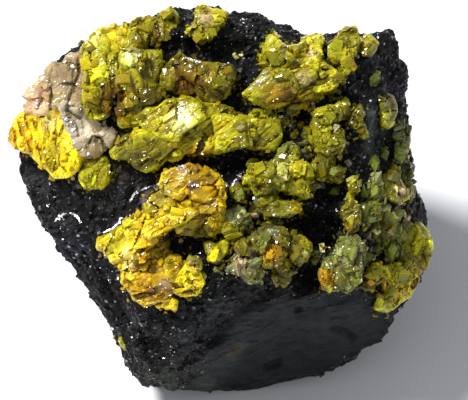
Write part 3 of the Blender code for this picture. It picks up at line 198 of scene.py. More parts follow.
# Soft patches of colour on the crystals: middle (u, v), reach and strength.
PATCHES = {
    LEMON: (
        (-14, 14, 1.6, 0.3), (10.6, 12.8, 1.6, 0.7), (-11.4, -5.2, 1.4, 0.6), (-0.6, 21, 1.2, 0.7),
        (-6.6, 8.8, 2, 0.9), (-9.2, 7.4, 1, 0.9), (-4.6, 6, 1.4, 0.5), (-18, 5.6, 2.4, 0.8),
        (-0.5, 7.8, 1.6, 0.6), (8.4, 3, 0.9, 0.7), (-4.6, -1.2, 1, 0.6), (-3.8, -8.4, 1, 0.6),
        (20, -9, 1.6, 0.4), (-1, -6.2, 0.8, 0.7), (-13, 18.2, 1.4, 0.4), (5, 10.4, 0.9, 0.5),
        (10.4, 15.4, 0.8, 0.7), (9.4, 16.6, 0.8, 0.6),
    ),
    LIME: (
        (-12, -4.4, 1.6, 0.8), (21.6, -4.6, 1.6, 0.7), (-0.5, -5.5, 1.6, 0.5), (-9.8, -2.4, 1.8, 0.7),
        (-3, -10, 1.4, 0.7), (-7.6, -0.6, 1.2, 0.6), (14.3, 0.2, 0.6, 0.8), (18.4, 8.4, 0.8, 0.8),
        (-19, 3.6, 0.8, 0.6), (-6.4, -6.4, 1, 0.6),
    ),
    OLIVE: (
        (-8.4, 14.5, 1.8, 0.7), (-10, 10.8, 1.8, 0.6), (-8.6, 5.4, 1.6, 0.6), (-2.6, -3.6, 2.2, 0.8),
        (4.4, 14, 1.6, 0.3), (5.4, -4.2, 1.4, 0.5), (3.8, 6.5, 2, 0.6), (18, -2.8, 1.4, 0.6),
        (-9.8, 4.2, 1.8, 0.6), (-6.6, 5.2, 1.2, 0.5), (-5, -3.4, 1.2, 0.6), (12.6, 5.4, 1.4, 0.5),
        (4.6, -7.2, 1, 0.6),
    ),
    DARK_OLIVE: (
        (-9.6, 4.8, 1.6, 0.95), (-7, 5.4, 1.7, 0.9), (-12.4, 11.6, 0.9, 0.8), (-8, 10.6, 1.4, 0.5),
        (-9.4, 14.6, 1.2, 0.4), (-5, 12.4, 1.2, 0.6), (5.6, 11.6, 1.6, 0.6), (-10, 12.4, 1.4, 0.5),
        (-3.6, 13.8, 2, 0.8), (-9, 10.4, 1.6, 0.4), (13.2, -7.8, 2.4, 0.2), (5.4, -4.6, 1.7, 0.7),
        (11.8, -9.4, 1.4, 0.5), (14.2, -1.6, 1, 0.5), (-2.6, -4, 1.6, 0.5), (8.6, -5.4, 1, 0.4),
        (-6, -9.2, 1.2, 0.4),
    ),
    AMBER: (
        (-11.6, 17.9, 1.2, 0.5), (-3, 1.6, 2.4, 0.6), (-8.8, -8.8, 2, 0.8), (5.8, 11.4, 1, 0.8),
        (8.6, -0.9, 1, 0.4), (5.4, -5.8, 0.9, 0.8), (11.4, -8.6, 1, 0.8), (19.8, -9.4, 1.6, 0.5),
        (-21.8, 6.9, 1.8, 0.9), (-2.8, 5, 1.2, 0.7), (8.8, 10.8, 0.9, 0.7), (-6.4, -9.8, 1, 0.6),
        (14.2, -2.6, 0.5, 0.5),
    ),
    BROWN: (
        (-9.2, 12.6, 2.2, 0.3), (-7.8, 5.6, 1.6, 0.2), (-2, 12.8, 2, 0.45), (5.4, -4.6, 1.6, 0.4),
        # (-11.8, 10.8) is painted shade between two columns.
        (-6.4, -9.4, 2, 0.2), (-7.2, 18.4, 1.6, 0.7), (-11.8, 10.8, 1.7, 0.9), (-4.1, 13, 1.4, 0.8),
        (-2.8, 4.2, 1.4, 0.7), (-6, -4.8, 1.6, 0.7), (-7.8, -10.2, 0.9, 0.9), (7.2, 11.6, 1.2, 0.9),
        (-12.2, 9.8, 0.8, 0.7),
    ),
    PALE: (
        # (-4.4, 8.6) is a painted highlight of the sun on a plain face.
        (-14.2, 17.4, 0.8, 0.4), (-10, 15.7, 0.7, 0.6), (-4.4, 8.6, 1.1, 0.8), (3.6, 13.8, 0.7, 0.5),
        (9.6, -5.2, 0.8, 0.5), (-18.8, 8.4, 0.7, 0.8), (6.6, 3.4, 0.8, 0.5), (16.9, 2, 0.8, 0.6),
        (-10.4, -5.6, 0.5, 0.6), (-10, -7, 0.7, 0.6), (13.6, -6.6, 0.8, 0.4),
    ),
    PINKISH: (
        # (-4.3, 3.3) and (-3.2, 1.5) are painted glints of the sun on smooth faces.
        (-1.8, 20, 0.7, 0.7), (-4.3, 3.3, 0.5, 0.6), (-3.2, 1.5, 0.5, 0.8), (-6.3, -9.2, 0.5, 0.8),
        (9.7, 16, 0.5, 0.8), (2.6, -6.8, 1, 0.7), (19.2, 0.6, 0.8, 0.8), (8.9, 13.4, 0.6, 0.7),
    ),
    SAGE: (
        (-6.6, 0.6, 1.5, 0.6), (-2.9, -6.7, 1, 0.8), (5.6, -3.6, 0.9, 0.8), (13.8, -6, 1.8, 0.7),
        (10.6, 13.4, 1, 0.4), (7.2, 6, 0.9, 0.6), (-12.4, -5.8, 0.7, 0.5), (19.6, 2.6, 1.2, 0.6),
    ),
}

CALCITE = (0.44, 0.32, 0.165)
CALCITE_GROWTH = 0.5  # how far the vein's sides grow, to meet the crystals
CALCITE_BANDS = (12, 0.7)  # direction across them, and thickness
BAND_SHADE = 0.4  # how much lighter one band is than another
CALCITE_PATCHES = {
    (0.75, 0.48, 0.28): ((-20.2, 10.6, 1.6, 0.9), (-18, 9.2, 1, 0.5)),
    (0.74, 0.66, 0.50): ((-15.4, 7.4, 1.5, 0.9), (-13.4, 7.4, 1.4, 0.6), (-16.8, 10, 1, 0.6)),
    (0.24, 0.17, 0.06): ((-15.6, 12.6, 0.8, 0.7), (-13.9, 6.3, 0.8, 0.7), (-14.2, 5.4, 0.9, 0.6)),
    (0.55, 0.45, 0.05): ((-18.2, 11.2, 0.7, 0.9),),
    (0.19, 0.15, 0.10): ((-15, 13.6, 0.8, 0.7), (-14.8, 11, 0.7, 0.6), (-16.8, 12.6, 0.6, 0.4)),
    (0.50, 0.40, 0.24): ((-17.9, 12.9, 0.8, 0.7), (-17, 9.2, 0.7, 0.6)),
    (0.03, 0.02, 0.01): ((-15.4, 9.6, 0.5, 0.9),),
}
CALCITE_CRACKS = (
    ((-16.5, 12), (-15.7, 13.8), (-15.8, 15.4)),
    ((-19.9, 8.1), (-19, 9.5), (-18.9, 10.2), (-18.6, 12.2)),
    ((-16.6, 11.8), (-16.9, 9.8), (-15.6, 8.9)),
    ((-14.6, 6.2), (-14.2, 7), (-13.2, 6.8), (-13, 5.8)),
)
CRACK_WIDTH = 0.14
CRACK_DEPTH = 0.3
CRACK_SHADE = 0.85  # how much darker a crack is

# Places (u, v) where crystals keep their plain faces, and how far that reaches.
CALM_PLACES = (
    (-4.4, 8.6, 1.8), (-7.2, 6.2, 1.8), (-9.4, 5.8, 1.4), (4.6, 12.4, 2), (-3.6, -0.8, 1.4),
    (-20.4, 7, 1.4), (-12, 17.6, 1.2), (-0.8, -5.6, 1.2), (-2.4, 1.2, 1.5), (6.4, -1, 1.2),
    (-10.8, -4.8, 1.2), (-6.6, -8.6, 1.2), (-13, 13.6, 1), (-9, 13, 1.2),
)

# Single crystals: middle (u, v) and radius, by colour.
NUGGETS = {
    LEMON: (
        (11.8, 9.6, 0.9), (4.1, 3, 1), (8.3, 3.2, 0.9), (14.3, -1, 0.9), (14.4, 1.7, 0.6), (12.4, -8.6, 1),
        (0.6, 9.9, 0.5),
    ),
    LIME: (
        (3.9, 9.4, 0.8), (5.5, 8.3, 0.9), (10.8, 8.2, 0.7), (4.2, 1, 0.6), (0.5, -3, 0.8), (4.9, -1.8, 0.5),
        (14.3, -2.7, 0.7), (17.2, -8, 1.1), (3.2, -8.1, 0.8), (5.6, 0.2, 0.6), (0.2, 12.2, 0.8),
        (12, 7.6, 0.7), (11.1, 5.4, 0.8), (6.4, 1.6, 0.6),
    ),
    OLIVE: (
        (5.4, 9.8, 0.6), (12.2, 9, 0.6), (11.5, 4.2, 0.9), (11, 3, 0.8), (8.9, 0.8, 0.8), (2.2, -2.2, 0.7),
        (1.8, -3.2, 0.6), (1.2, -4.4, 0.6), (3.8, -5, 0.5), (6.8, -4.2, 0.6), (16.3, 0.8, 0.8),
        (16.2, -0.7, 0.9), (17.8, -2.8, 1), (4.3, -0.4, 0.6), (0.3, 14, 0.9), (14.6, 9.2, 0.7),
        (8, 7.2, 0.6), (3.6, -3.8, 0.6),
    ),
    AMBER: ((8.9, 10.9, 0.8), (5.2, -6, 0.9), (12.2, -7.4, 0.8)),
    PALE: (
        (10.4, 9.1, 0.4), (6.4, 9.2, 0.3), (1.6, 0.9, 0.7), (7, -6.8, 0.3), (11.1, -5.4, 0.5),
        (16.9, 2.4, 0.7), (16.8, -3.4, 0.5), (6.6, 3.6, 0.7), (13.4, 9.6, 0.4), (1.4, 15.8, 0.4),
        (2.2, 15.9, 0.4),
    ),
    PINKISH: (
        (3.7, -1.5, 0.7), (10, 10.4, 0.4), (8.7, -6.4, 0.4), (1.8, -6.6, 0.6), (3.4, -6.4, 0.5),
        (19.4, 1, 0.9), (0.4, 1.4, 0.4),
    ),
    SAGE: (
        (7.6, 9.8, 0.7), (7.5, 11, 0.5), (12.7, 3, 0.7), (1.5, -1.4, 0.8), (2.6, -5.1, 0.8),
        (5.7, -3.4, 0.8), (7.1, -8, 0.7), (10.2, -5.9, 0.5), (17.5, 0.4, 0.9), (18.2, -1.2, 0.7),
        (14.4, -5.6, 1.1), (19.8, 6, 0.9), (20.2, 7.8, 0.8), (19.8, -4.4, 0.8), (1.4, -7.4, 0.8),
    ),
    DULL: (
        (9.4, 5.2, 0.8), (9.8, 2.5, 0.6), (7, -5.6, 0.5), (15.8, -1.8, 0.6), (20.4, 3.6, 0.9),
        (13.4, -4, 0.8), (7.2, 8.4, 0.7), (3, -2.9, 0.5), (20, -7.4, 0.9), (11.6, 15.4, 0.8),
    ),
}
NUGGET_BUDS = 12  # smaller crystals on one of radius 1 mm
NUGGET_BUD_SIZES = (0.25, 0.5)  # in radii of that crystal

# Small crystals on an oval of the rock: middle (u, v), half width and height, crystals per square mm, their
# smallest and largest radius, and their colours.
# Their near-black crystals are partly grime and partly painted shade in the crevices.
CRUSTS = (
    (4, -2, 4, 6, 2.4, 0.2, 0.6, (LIME, SAGE, OLIVE, DULL, GRIME_AND_SHADE)),
    (7, 2.4, 4.6, 2.8, 2.4, 0.2, 0.6, (LIME, LEMON, OLIVE, GRIME_AND_SHADE)),
    (10.5, 6.5, 3.2, 4.5, 2.4, 0.2, 0.6, (LIME, OLIVE, SAGE, DULL, GRIME_AND_SHADE)),
    (5, 8.6, 3.2, 1.6, 2, 0.2, 0.5, (OLIVE, SAGE, LIME, DULL)),
    (14, 8, 1.8, 5.5, 1.6, 0.15, 0.45, (OLIVE, GRIME_AND_SHADE, DULL, SAGE)),
    (17.5, -2, 2.6, 5.5, 2.4, 0.2, 0.6, (SAGE, OLIVE, LIME, DULL)),
    (14.5, -5, 1.6, 4, 2, 0.2, 0.5, (SAGE, OLIVE, PALE, DULL)),
    (9.5, 13.6, 5, 3, 1.6, 0.2, 0.5, (OLIVE, DULL, GRIME_AND_SHADE)),
    (2, -7, 4, 2.2, 2, 0.15, 0.5, (SAGE, OLIVE, PINKISH, DULL)),
    (-9, 13.6, 6.5, 5.5, 1.6, 0.2, 0.5, (OLIVE, LIME, GRIME_AND_SHADE)),
    (-7, -5, 5, 5.5, 0.5, 0.15, 0.45, (OLIVE, AMBER, GRIME_AND_SHADE)),
    (20, 2, 2, 7, 2, 0.2, 0.5, (SAGE, DULL, OLIVE, PINKISH)),
    (18.5, -9, 3, 3, 1.6, 0.2, 0.5, (OLIVE, AMBER, DULL)),
)

# Larger crystals of a few blocks each: middle (u, v), half length, half width and turn.
CHUNK_BODIES = 4
CHUNK_SPREAD = 0.35  # of their middles, in half sizes of the chunk
CHUNK_TWIST = 25  # most degrees that they turn
CHUNK_BUDS = 34  # small crystals on one of half sizes 1 by 1 mm
CHUNK_BUD_SIZES = (0.2, 0.5)  # in half widths of the chunk
CHUNKS = {
    (0.66, 0.64, 0.10): ((6.6, 3.3, 0.9, 0.6, 100),),
    LEMON: ((8.3, 3.4, 0.9, 0.8, 40), (-0.9, -6, 0.9, 0.7, 60)),
    LIME: (
        (3.9, 2.9, 1.2, 0.9, 90), (8.7, 1.4, 0.9, 0.8, 80), (1, -3.3, 1.1, 0.8, 10),
        (17.1, -7.9, 1.2, 0.7, 15), (14.3, 0.4, 0.6, 0.5, 80), (14.3, -2.3, 0.6, 0.5, 60),
        (9.2, -4.9, 1, 0.6, -55), (10.8, 9.5, 0.8, 0.6, 20), (4.8, 9.6, 0.8, 0.6, 10),
        (11.4, 6.9, 0.9, 0.7, 60), (-0.4, 12.9, 1.1, 0.7, -30), (14.6, 17.4, 0.9, 0.7, 50),
    ),
    LEAF: (
        (6.9, 5.2, 1.4, 0.7, 55), (17, 1.8, 1.3, 0.7, 80), (20, -5, 1.3, 0.5, 75), (4.4, -4.6, 1, 0.7, 70),
        (14.2, -5.6, 1, 0.7, 70), (1.9, 0.5, 0.7, 0.5, 80), (12.2, 3.2, 0.8, 0.6, 90),
        (6.2, -2.6, 0.8, 0.5, 20),
    ),
    OLIVE: (
        (11.1, 3.8, 1.1, 0.7, 90), (3.2, -1.4, 0.9, 0.6, 40), (2.4, -5.2, 0.9, 0.6, 100),
        (6.9, 8.6, 0.9, 0.6, 160), (13.2, 9.6, 0.9, 0.6, 75), (12.6, 7.6, 0.8, 0.6, 100),
        (18.9, 2.6, 1.3, 0.9, 60), (12.8, 13.2, 0.9, 0.7, 30), (1.2, 9.4, 0.9, 0.5, 0),
        (16.2, -9.4, 0.9, 0.6, 30), (5.9, -8.4, 1.2, 0.5, 95), (3, 7.9, 1.1, 0.6, 10),
    ),
    MOSS: (
        (18.1, -2.8, 1.6, 1.1, 60), (16.6, -1, 1, 0.8, 20), (16.9, -3.2, 0.9, 0.6, 80),
        (19.9, 5.2, 1.1, 0.7, 75), (16.8, 3.9, 1, 0.6, 85), (19.2, -1.6, 0.9, 0.8, 40),
        (18.8, -5.4, 1.3, 0.8, 80), (15.9, -6.4, 0.9, 0.7, 40), (9.4, 7.2, 0.9, 0.7, 20),
        (9.8, 1.6, 0.8, 0.6, 70), (16.9, 13.4, 1, 0.6, 60), (17.4, -5.2, 0.9, 0.7, 60),
        (15.6, 1, 0.8, 0.5, 80), (20.6, 3, 1.3, 0.9, 80), (17.9, 5.2, 0.8, 0.6, 80),
        (12.6, 1, 0.7, 0.5, 40), (10.4, -6.4, 0.7, 0.5, 60),
    ),
    SAGE: (
        (19.6, 8.4, 0.8, 0.5, 20), (19.7, 7, 0.9, 0.5, 15), (20.8, 1, 1.2, 0.8, 80),
        (3.6, -6.9, 1, 0.6, 15), (1.4, -6.4, 0.8, 0.5, 30), (8.8, 4.9, 0.8, 0.6, 60),
        (20.4, -2.6, 1.2, 0.7, 75), (20.2, 3.9, 0.9, 0.7, 60),
    ),
    GREEN_GOLD: (
        (5.9, 15.3, 1.2, 0.8, -30), (6.4, 13.8, 1, 0.6, 20), (18.4, 1, 1.4, 0.7, -55),
        (19.4, -8.6, 1.5, 0.9, 75), (20.6, -8, 1.3, 0.8, 80), (18.4, -10.4, 1.2, 0.7, 70),
        (21.7, -5.2, 1.3, 0.8, 65),
    ),
    AMBER: ((5.4, -6, 0.6, 0.6, 80), (11.3, -8.2, 0.7, 0.6, 60)),
}

# Where small facets catch the sun: lines over the face, and single places with a radius.
WET_LINES = (
    ((-10.1, -0.1), (-9.6, 0.7), (-9, 1.1), (-8, 1.5), (-6.8, 1.7)),
    ((-13, -3.6), (-12, -3.1), (-11.3, -2.5), (-11.1, -1.9)),
    ((1, 1.3), (1.5, 2.1), (2, 2.7), (2.5, 3.2)),
    ((-3.9, 15.5), (-3.1, 15.3), (-2.3, 15)),
    ((-16.8, -1.4), (-16, -1.9), (-15.6, -2.6)),
)
WET_SPOTS = (
    (19.4, -1.1, 0.6), (11, -0.9, 0.2), (12.7, -1.2, 0.2), (2.6, -0.8, 0.22), (16.7, -6, 0.6),
    (-4.3, 3.5, 0.45), (-3.2, 1.7, 0.35), (-18, -1.7, 0.6), (-20.5, 10.7, 0.45), (17.7, 14.6, 0.25),
    (9.6, 4.9, 0.25), (15.2, 4.2, 0.2), (14.9, 3.2, 0.2), (15.4, 6.1, 0.2), (-17.2, 8.9, 0.6),
    (-16.6, 8, 0.5), (-7.4, 15.9, 0.18), (1.9, 3, 0.3), (-19.4, -0.6, 0.2), (-12.6, -9, 0.15),
    (16.4, 10.9, 0.15), (15.9, 8.9, 0.12),
)
WET_RADIUS = 0.17
WET_FACETS = 7  # on each single place
WET_FACET_SIZES = (0.25, 0.55)  # in radii of the place
SPARKLE_RADII = (0.07, 0.2)
SPARKLE_WOBBLE = 0.06
ROCK_SPARKLES = 0.22  # on each square mm
LOOK_SPARKLES = 1.4  # for each strewn crystal

# ---- rock

# The smooth slaty face low at the front, and the direction of its grain.
SLATE_OUTLINE = (
    (3, -10.6), (15, -9.8), (19.5, -13), (18.5, -16), (12, -20), (3, -23), (-5, -22.5), (-2, -17),
    (0, -13.6),
)
SLATE_GRAIN = 35
SLATE_SMOOTH = 0.9  # how much of the rock's own relief is gone there
# Grooves and pits in the rock: lines and half widths.
ROCK_GROOVES = (
    (((5.4, -9.9), (1.8, -12.6), (-1.2, -16), (-5.4, -19.4)), 0.55),
    (((12.4, -14.7), (13.6, -14.9), (14.9, -15.7)), 0.35),
    (((5.2, -19.1), (6.5, -18.6)), 0.4),
    (((8.3, -12.3), (8.8, -12.4)), 0.3),
    (((-3.4, 17.6), (-2.4, 14.8)), 0.4),
    (((-15.4, -6.4), (-13, -9.6), (-10.6, -13.8)), 0.4),
)
GROOVE_DEPTH = 0.45
PAINTED_GROOVE_SHADE = 0.8  # how much darker a groove is, as painted shade in it
ROCK_PATCHES = {
    # Painted sheen on the low front of the rock, lighter and bluer.
    (0.026, 0.036, 0.038): (
        (-0.4, -12.4, 1.4, 0.7), (-3.6, -15.4, 1.6, 0.6), (2.2, -15.4, 1.4, 0.4), (0.4, -18.8, 1.6, 0.5),
    ),
    (0.075, 0.095, 0.082): ((16.4, 9.4, 0.9, 0.8), (16.3, 7.4, 0.9, 0.8), (16.6, 5.4, 0.9, 0.7)),
    # Painted reflection of the floor on the bevel at the bottom.
    (0.050, 0.055, 0.042): ((-6.4, -20, 2, 0.8), (-1.8, -21.2, 1.4, 0.6)),
    VIOLET: (
        (19.4, 12.4, 1.4, 0.7), (-8.2, 0.6, 1, 0.9), (1, -12, 1.4, 0.3), (-3, -16, 1.6, 0.4),
        (2.4, 0.2, 0.6, 0.6), (-17, -5, 2, 0.3),
    ),
    # Painted sheen on the lit left side of the rock, lighter grey.
    (0.05, 0.048, 0.05): ((-20.4, 2.2, 1.6, 0.6), (-17.6, -2, 1.2, 0.4), (-12.4, 0.4, 1.8, 0.5)),
    # Painted sheen along the wet lines, pale violet.
    (0.15, 0.125, 0.17): ((-8.4, 0.4, 0.8, 0.9), (-11.3, -2.9, 0.5, 0.7), (1.5, 1.9, 0.4, 0.6)),
    (0.07, 0.05, 0.015): ((1.9, -16.8, 0.5, 0.7), (0.9, -17.4, 0.4, 0.6), (-11.8, 3, 1, 0.3)),
}
GRAIN_COUNT = 8500
GRAIN_RADII = (0.10, 0.30)
GLASSY_GRAINS = 0.14  # share of the grains that are glassy
HALO_WIDTH = 0.7  # beside a mass, where crystals like its own stand on the rock
HALO_DENSITY = 1.3  # of them for each square mm of the mass's sides
HALO_FACING = 0.4  # the sides are faces that look this little outward
HALO_RADII = (0.15, 0.5)
HALO_SHADES = (0.2, 0.7)  # how bright they are beside the mass

rng = np.random.default_rng(7)


# ---- places


def unit(vector):
    return vector / np.linalg.norm(vector)


def to_face(points):
    """(u, v, h) of places in metres."""
    return (points / MM - FACE_MIDDLE) @ FACE_AXES.T


def from_face(places):
    """Places in metres of (u, v, h)."""
    return (np.asarray(places) @ FACE_AXES + FACE_MIDDLE) * MM


def from_face_direction(direction):
    """The unit direction in which (u, v, h) points."""
    return unit(np.asarray(direction) @ FACE_AXES)


def turning(degrees):
    """Matrix that turns (u, v, h) so that its first number runs in that direction from u."""
    return np.array(Matrix.Rotation(math.radians(degrees), 3, "Z"))


def sideways(normals):
    """The part of each normal that lies along the face."""
    return normals - FACE_OUT * (normals @ FACE_OUT)[:, None]


def read_vectors(items, name):
    """A vector of each item of a mesh, as an array."""
    values = np.empty(len(items) * 3, np.float32)
    items.foreach_get(name, values)
    return values.reshape(-1, 3).astype(float)


def surface_of(piece):
    """A piece's points and normals, and the points' (u, v, h)."""
    points = read_vectors(piece.data.vertices, "co")
    return points, read_vectors(piece.data.vertex_normals, "vector"), to_face(points)


def hollowness(mesh, points, normals, rounds):
    """How many mm each point lies below the mesh after so many rounds of softening."""
    ends = np.empty(len(mesh.edges) * 2, np.int32)
    mesh.edges.foreach_get("vertices", ends)
    near, far = ends.reshape(-1, 2).T
    near, far = np.concatenate((near, far)), np.concatenate((far, near))
    total = np.bincount(near, minlength=len(points))[:, None]
    soft = points
    for count in range(rounds):
        sums = [np.bincount(near, soft[far, axis], len(points)) for axis in range(3)]
        soft = np.stack(sums, 1) / total
    return ((soft - points) * normals).sum(1) / MM


def within_box(points):
    """Points held inside the solids' box and its margin, above the floor."""
    low = np.array(cad_box[0]) - BOX_MARGIN * MM
    high = np.array(cad_box[1]) + BOX_MARGIN * MM
    low[2] = 0.0
    return np.clip(points, low, high)


def distance_to_line(places, line):
    """How far flat places are from a line through several points."""
    nearest = np.full(len(places), np.inf)
    for start, end in zip(np.array(line[:-1]), np.array(line[1:])):
        way = end - start
        along = np.clip((places - start) @ way / (way @ way), 0, 1)
        nearest = np.minimum(nearest, np.hypot(*(places - start - along[:, None] * way).T))
    return nearest


def on_lines(places, lines):
    """1 on any of several lines, falling to 0 beside them over its half width."""
    shares = [np.exp(-(distance_to_line(places[:, :2], line) / width) ** 2) for line, width in lines]
    return np.max(shares, axis=0)


def inside(places, outline):
    """Whether each flat place is inside an outline."""
    u, v = places[:, 0], places[:, 1]
    odd = np.zeros(len(places), bool)
    for (u0, v0), (u1, v1) in zip(outline, outline[1:] + outline[:1]):
        if v0 != v1:
            odd ^= ((v0 > v) != (v1 > v)) & (u < u0 + (u1 - u0) * (v - v0) / (v1 - v0))
    return odd


def distances(tree, points):
    """How far each point is from a tree's surface, in mm."""
    return np.array([tree.find_nearest(Vector(point))[3] for point in points]) / MM


# ---- random cells


def mix_bits(numbers):
    """Scrambled copy of whole numbers, always the same for the same input."""
    for shift, factor in ((33, 0xFF51AFD7ED558CCD), (29, 0xC4CEB9FE1A85EC53), (32, 1)):
        numbers = (numbers ^ (numbers >> np.uint64(shift))) * np.uint64(factor)
    return numbers


def cell_numbers(cells, seed, count):
    """Random numbers, `count` of them for each whole-number cell."""
    code = cells.astype(np.int64).astype(np.uint64)
    start = code @ np.array((73856093, 19349663, 83492791), np.uint64)
    columns = [mix_bits(start + np.uint64(seed * 1013 + i * 7919)) for i in range(count)]
    return np.stack(columns, 1) / 2.0 ** 64


def nearest_cells(places, seed):
    """Each place's offset from the nearest of random points, one in each unit cell, and its cell."""
    home = np.floor(places)
    best = np.full(len(places), np.inf)
    offset = np.zeros_like(places)
    cell = home.copy()
    for step in np.ndindex(3, 3, 3):
        other = home + np.array(step) - 1
        away = places - other - cell_numbers(other, seed, 3)
        distance = (away ** 2).sum(1)
        closer = distance < best
        best = np.where(closer, distance, best)
        offset[closer] = away[closer]
        cell[closer] = other[closer]
    return offset, cell


def broken(places, planes):
    """A surface broken into planes: its height at each place, and the plane's random number."""
    offset, cell = nearest_cells(places * planes.stretch / planes.size, planes.seed)
    random = cell_numbers(cell, planes.seed + 50, 5)
    lean = (offset * (random[:, :3] - 0.5)).sum(1) * 2.0 * planes.lean
    return (lean + (random[:, 3] - 0.5) * planes.step) * planes.size, random[:, 4]


def leaves(places, turn, thickness):
    """Parallel leaves: the height at each place, the leaf's random number, and 1 in a gap between two leaves,
    falling to 0 beside it."""
    direction = np.array((math.cos(math.radians(turn)), math.sin(math.radians(turn)), LEAF_RISE))
    count = (places @ direction + broken(places, LEAF_WANDER)[0]) / thickness
    number = np.floor(count)
    part = count - number
    random = cell_numbers(np.stack((number, number * 0, number * 0), 1), LEAF_SEED, 2)
    height = ((part - 0.5) * LEAF_SLOPE + (random[:, 0] - 0.5) * LEAF_STEP) * thickness
    gap = np.exp(-(np.minimum(part, 1 - part) / LEAF_GAP) ** 2)
    return height, random[:, 1], gap


# ---- meshes


def new_object(name, mesh):
    item = bpy.data.objects.new(name, mesh)
    bpy.context.scene.collection.objects.link(item)
    return item


def even_mesh(node, voxel):
    """New object with the shape of a solid, rebuilt in small even faces."""
    bm = bmesh.new()
    bm.from_mesh(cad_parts[node].data)
    bmesh.ops.remove_doubles(bm, verts=bm.verts, dist=SAME_POINT * MM)
    mesh = bpy.data.meshes.new(node + "_look")
    bm.to_mesh(mesh)
    bm.free()
    item = new_object(node + "_look", mesh)
    remesh = item.modifiers.new("even_faces", "REMESH")
    remesh.mode = "VOXEL"
    remesh.voxel_size = voxel * MM
    graph = bpy.context.evaluated_depsgraph_get()
    even = bpy.data.meshes.new_from_object(item.evaluated_get(graph))
    item.modifiers.clear()
    item.data = even
    bpy.data.meshes.remove(mesh)
    return item


def finish_mesh(item, points, colours, material):
    """Give an object its final points, their colours and its material."""
    mesh = item.data
    mesh.vertices.foreach_set("co", points.astype(np.float32).ravel())
    layer = mesh.attributes.new("tint", "FLOAT_COLOR", "POINT")
    layer.data.foreach_set("color", np.insert(colours, 3, 1, axis=1).astype(np.float32).ravel())
    mesh.materials.append(material)
    mesh.update()


def solids_tree(nodes):
    """Search tree over the faces of several solids."""
    points, faces = [], []
    for node in nodes:
        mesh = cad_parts[node].data
        faces += [[index + len(points) for index in polygon.vertices] for polygon in mesh.polygons]
        points += [vertex.co for vertex in mesh.vertices]
    return BVHTree.FromPolygons(points, faces)


# ---- colours


def soft_spot(places, u, v, reach):
    """How far places are from (u, v), compared with a reach."""
    return np.hypot(places[:, 0] - u, places[:, 1] - v) / reach


def patched(base, places, layers=PATCHES):
    """The colour at each place: a base with soft patches over it."""
    colours = np.broadcast_to(base, (len(places), 3))
    for colour, patches in layers.items():
        for u, v, reach, strength in patches:
            share = (strength * np.exp(-soft_spot(places, u, v, reach) ** 2))[:, None]
            colours = colours * (1 - share) + np.array(colour) * share
    return colours


def calmness(places):
    """1 where crystals keep their plain faces, falling to 0 away from there."""
    return np.max([np.exp(-soft_spot(places, *place) ** 4) for place in CALM_PLACES], axis=0)


def crystal_colours(base, places, shades, depth):
    """Colour at each place of a mass, darkened at its roots with grime and painted shade. A shade is a random
    number for each place, and how far it changes the colour."""
    colours = patched(base, places)
    for number, spread in shades:
        colours = colours * (1 + spread * (number[:, None] - 0.5) * 2)
        colours[:, 1] *= 1 + GREEN_SHIFT * spread * (number - 0.5)
    # Grime and painted shade: darker near the rock, at the mass's roots.
    grime_and_shade = np.clip(1.2 - depth / GRIME_AND_SHADE_REACH, 0, 1)[:, None] ** 1.5
    return colours * (1 - grime_and_shade) + np.array(GRIME_AND_SHADE) * grime_and_shade


def slate_share(places, normals):
    """1 on the smooth slaty face, falling to 0 at its edge."""
    depth = distance_to_line(places[:, :2], SLATE_OUTLINE + SLATE_OUTLINE[:1])
    front = np.clip((0.3 - normals[:, 1]) / 0.5, 0, 1)
    return np.clip(depth, 0, 1) * inside(places, SLATE_OUTLINE) * front


def rock_colours(places, normals):
    """Colour at each place of the rock, with soft patches where it looks outward."""
    slate = slate_share(places, normals)[:, None]
    plain = np.array(ROCK) * (1 - slate) + np.array(SLATE) * slate
    outward = np.clip(normals @ FACE_OUT / 0.3 + 0.5, 0, 1)[:, None]
    return plain * (1 - outward) + patched(plain, places, ROCK_PATCHES) * outward


def footed(colour, heights):
    """A crystal's colour at each point, with painted shade towards its foot where it meets what it stands on.
    Heights run from about -1 to 1.
    """
    return np.array(colour) * np.clip(0.8 + 0.5 * heights, 0.25, 1.1)[:, None] ** PAINTED_SHADE_POWERS


def any_of(items):
    return items[rng.integers(len(items))]


def any_colour(colours):
    """One of the colours, a little lighter or darker."""
    return np.array(any_of(colours)) * rng.uniform(0.65, 1.35)


# ---- materials


def new_material(name):
    """A material, its node tree and its shader."""
    material = bpy.data.materials.new(name)
    material.use_nodes = True
    return material, material.node_tree, material.node_tree.nodes["Principled BSDF"]


def add_node(tree, kind, **settings):
    node = tree.nodes.new(kind)
    for name, value in settings.items():
        if name in node.inputs:
            node.inputs[name].default_value = value
        else:
            setattr(node, name, value)
    return node


def add_noise(tree, size):
    """Noise with features of about that size."""
    place = add_node(tree, "ShaderNodeTexCoord")
    noise = add_node(tree, "ShaderNodeTexNoise", Scale=1 / (size * MM), Detail=3.0)
    tree.links.new(place.outputs["Object"], noise.inputs["Vector"])
    return noise.outputs["Fac"]


def add_range(tree, size, low, high):
    """A number that wanders between low and high over about a size."""
    limits = {"From Min": 0.3, "From Max": 0.7, "To Min": low, "To Max": high}
    spread = add_node(tree, "ShaderNodeMapRange", **limits)
    tree.links.new(add_noise(tree, size), spread.inputs["Value"])
    return spread.outputs["Result"]


def add_tint(tree, strength):
    """The colour stored at each point, times a number."""
    tint = add_node(tree, "ShaderNodeAttribute", attribute_name="tint")
    product = add_node(tree, "ShaderNodeMix", data_type="RGBA", blend_type="MULTIPLY", Factor=1.0)
    tree.links.new(tint.outputs["Color"], product.inputs["A"])
    tree.links.new(strength, product.inputs["B"])
    return product.outputs["Result"]


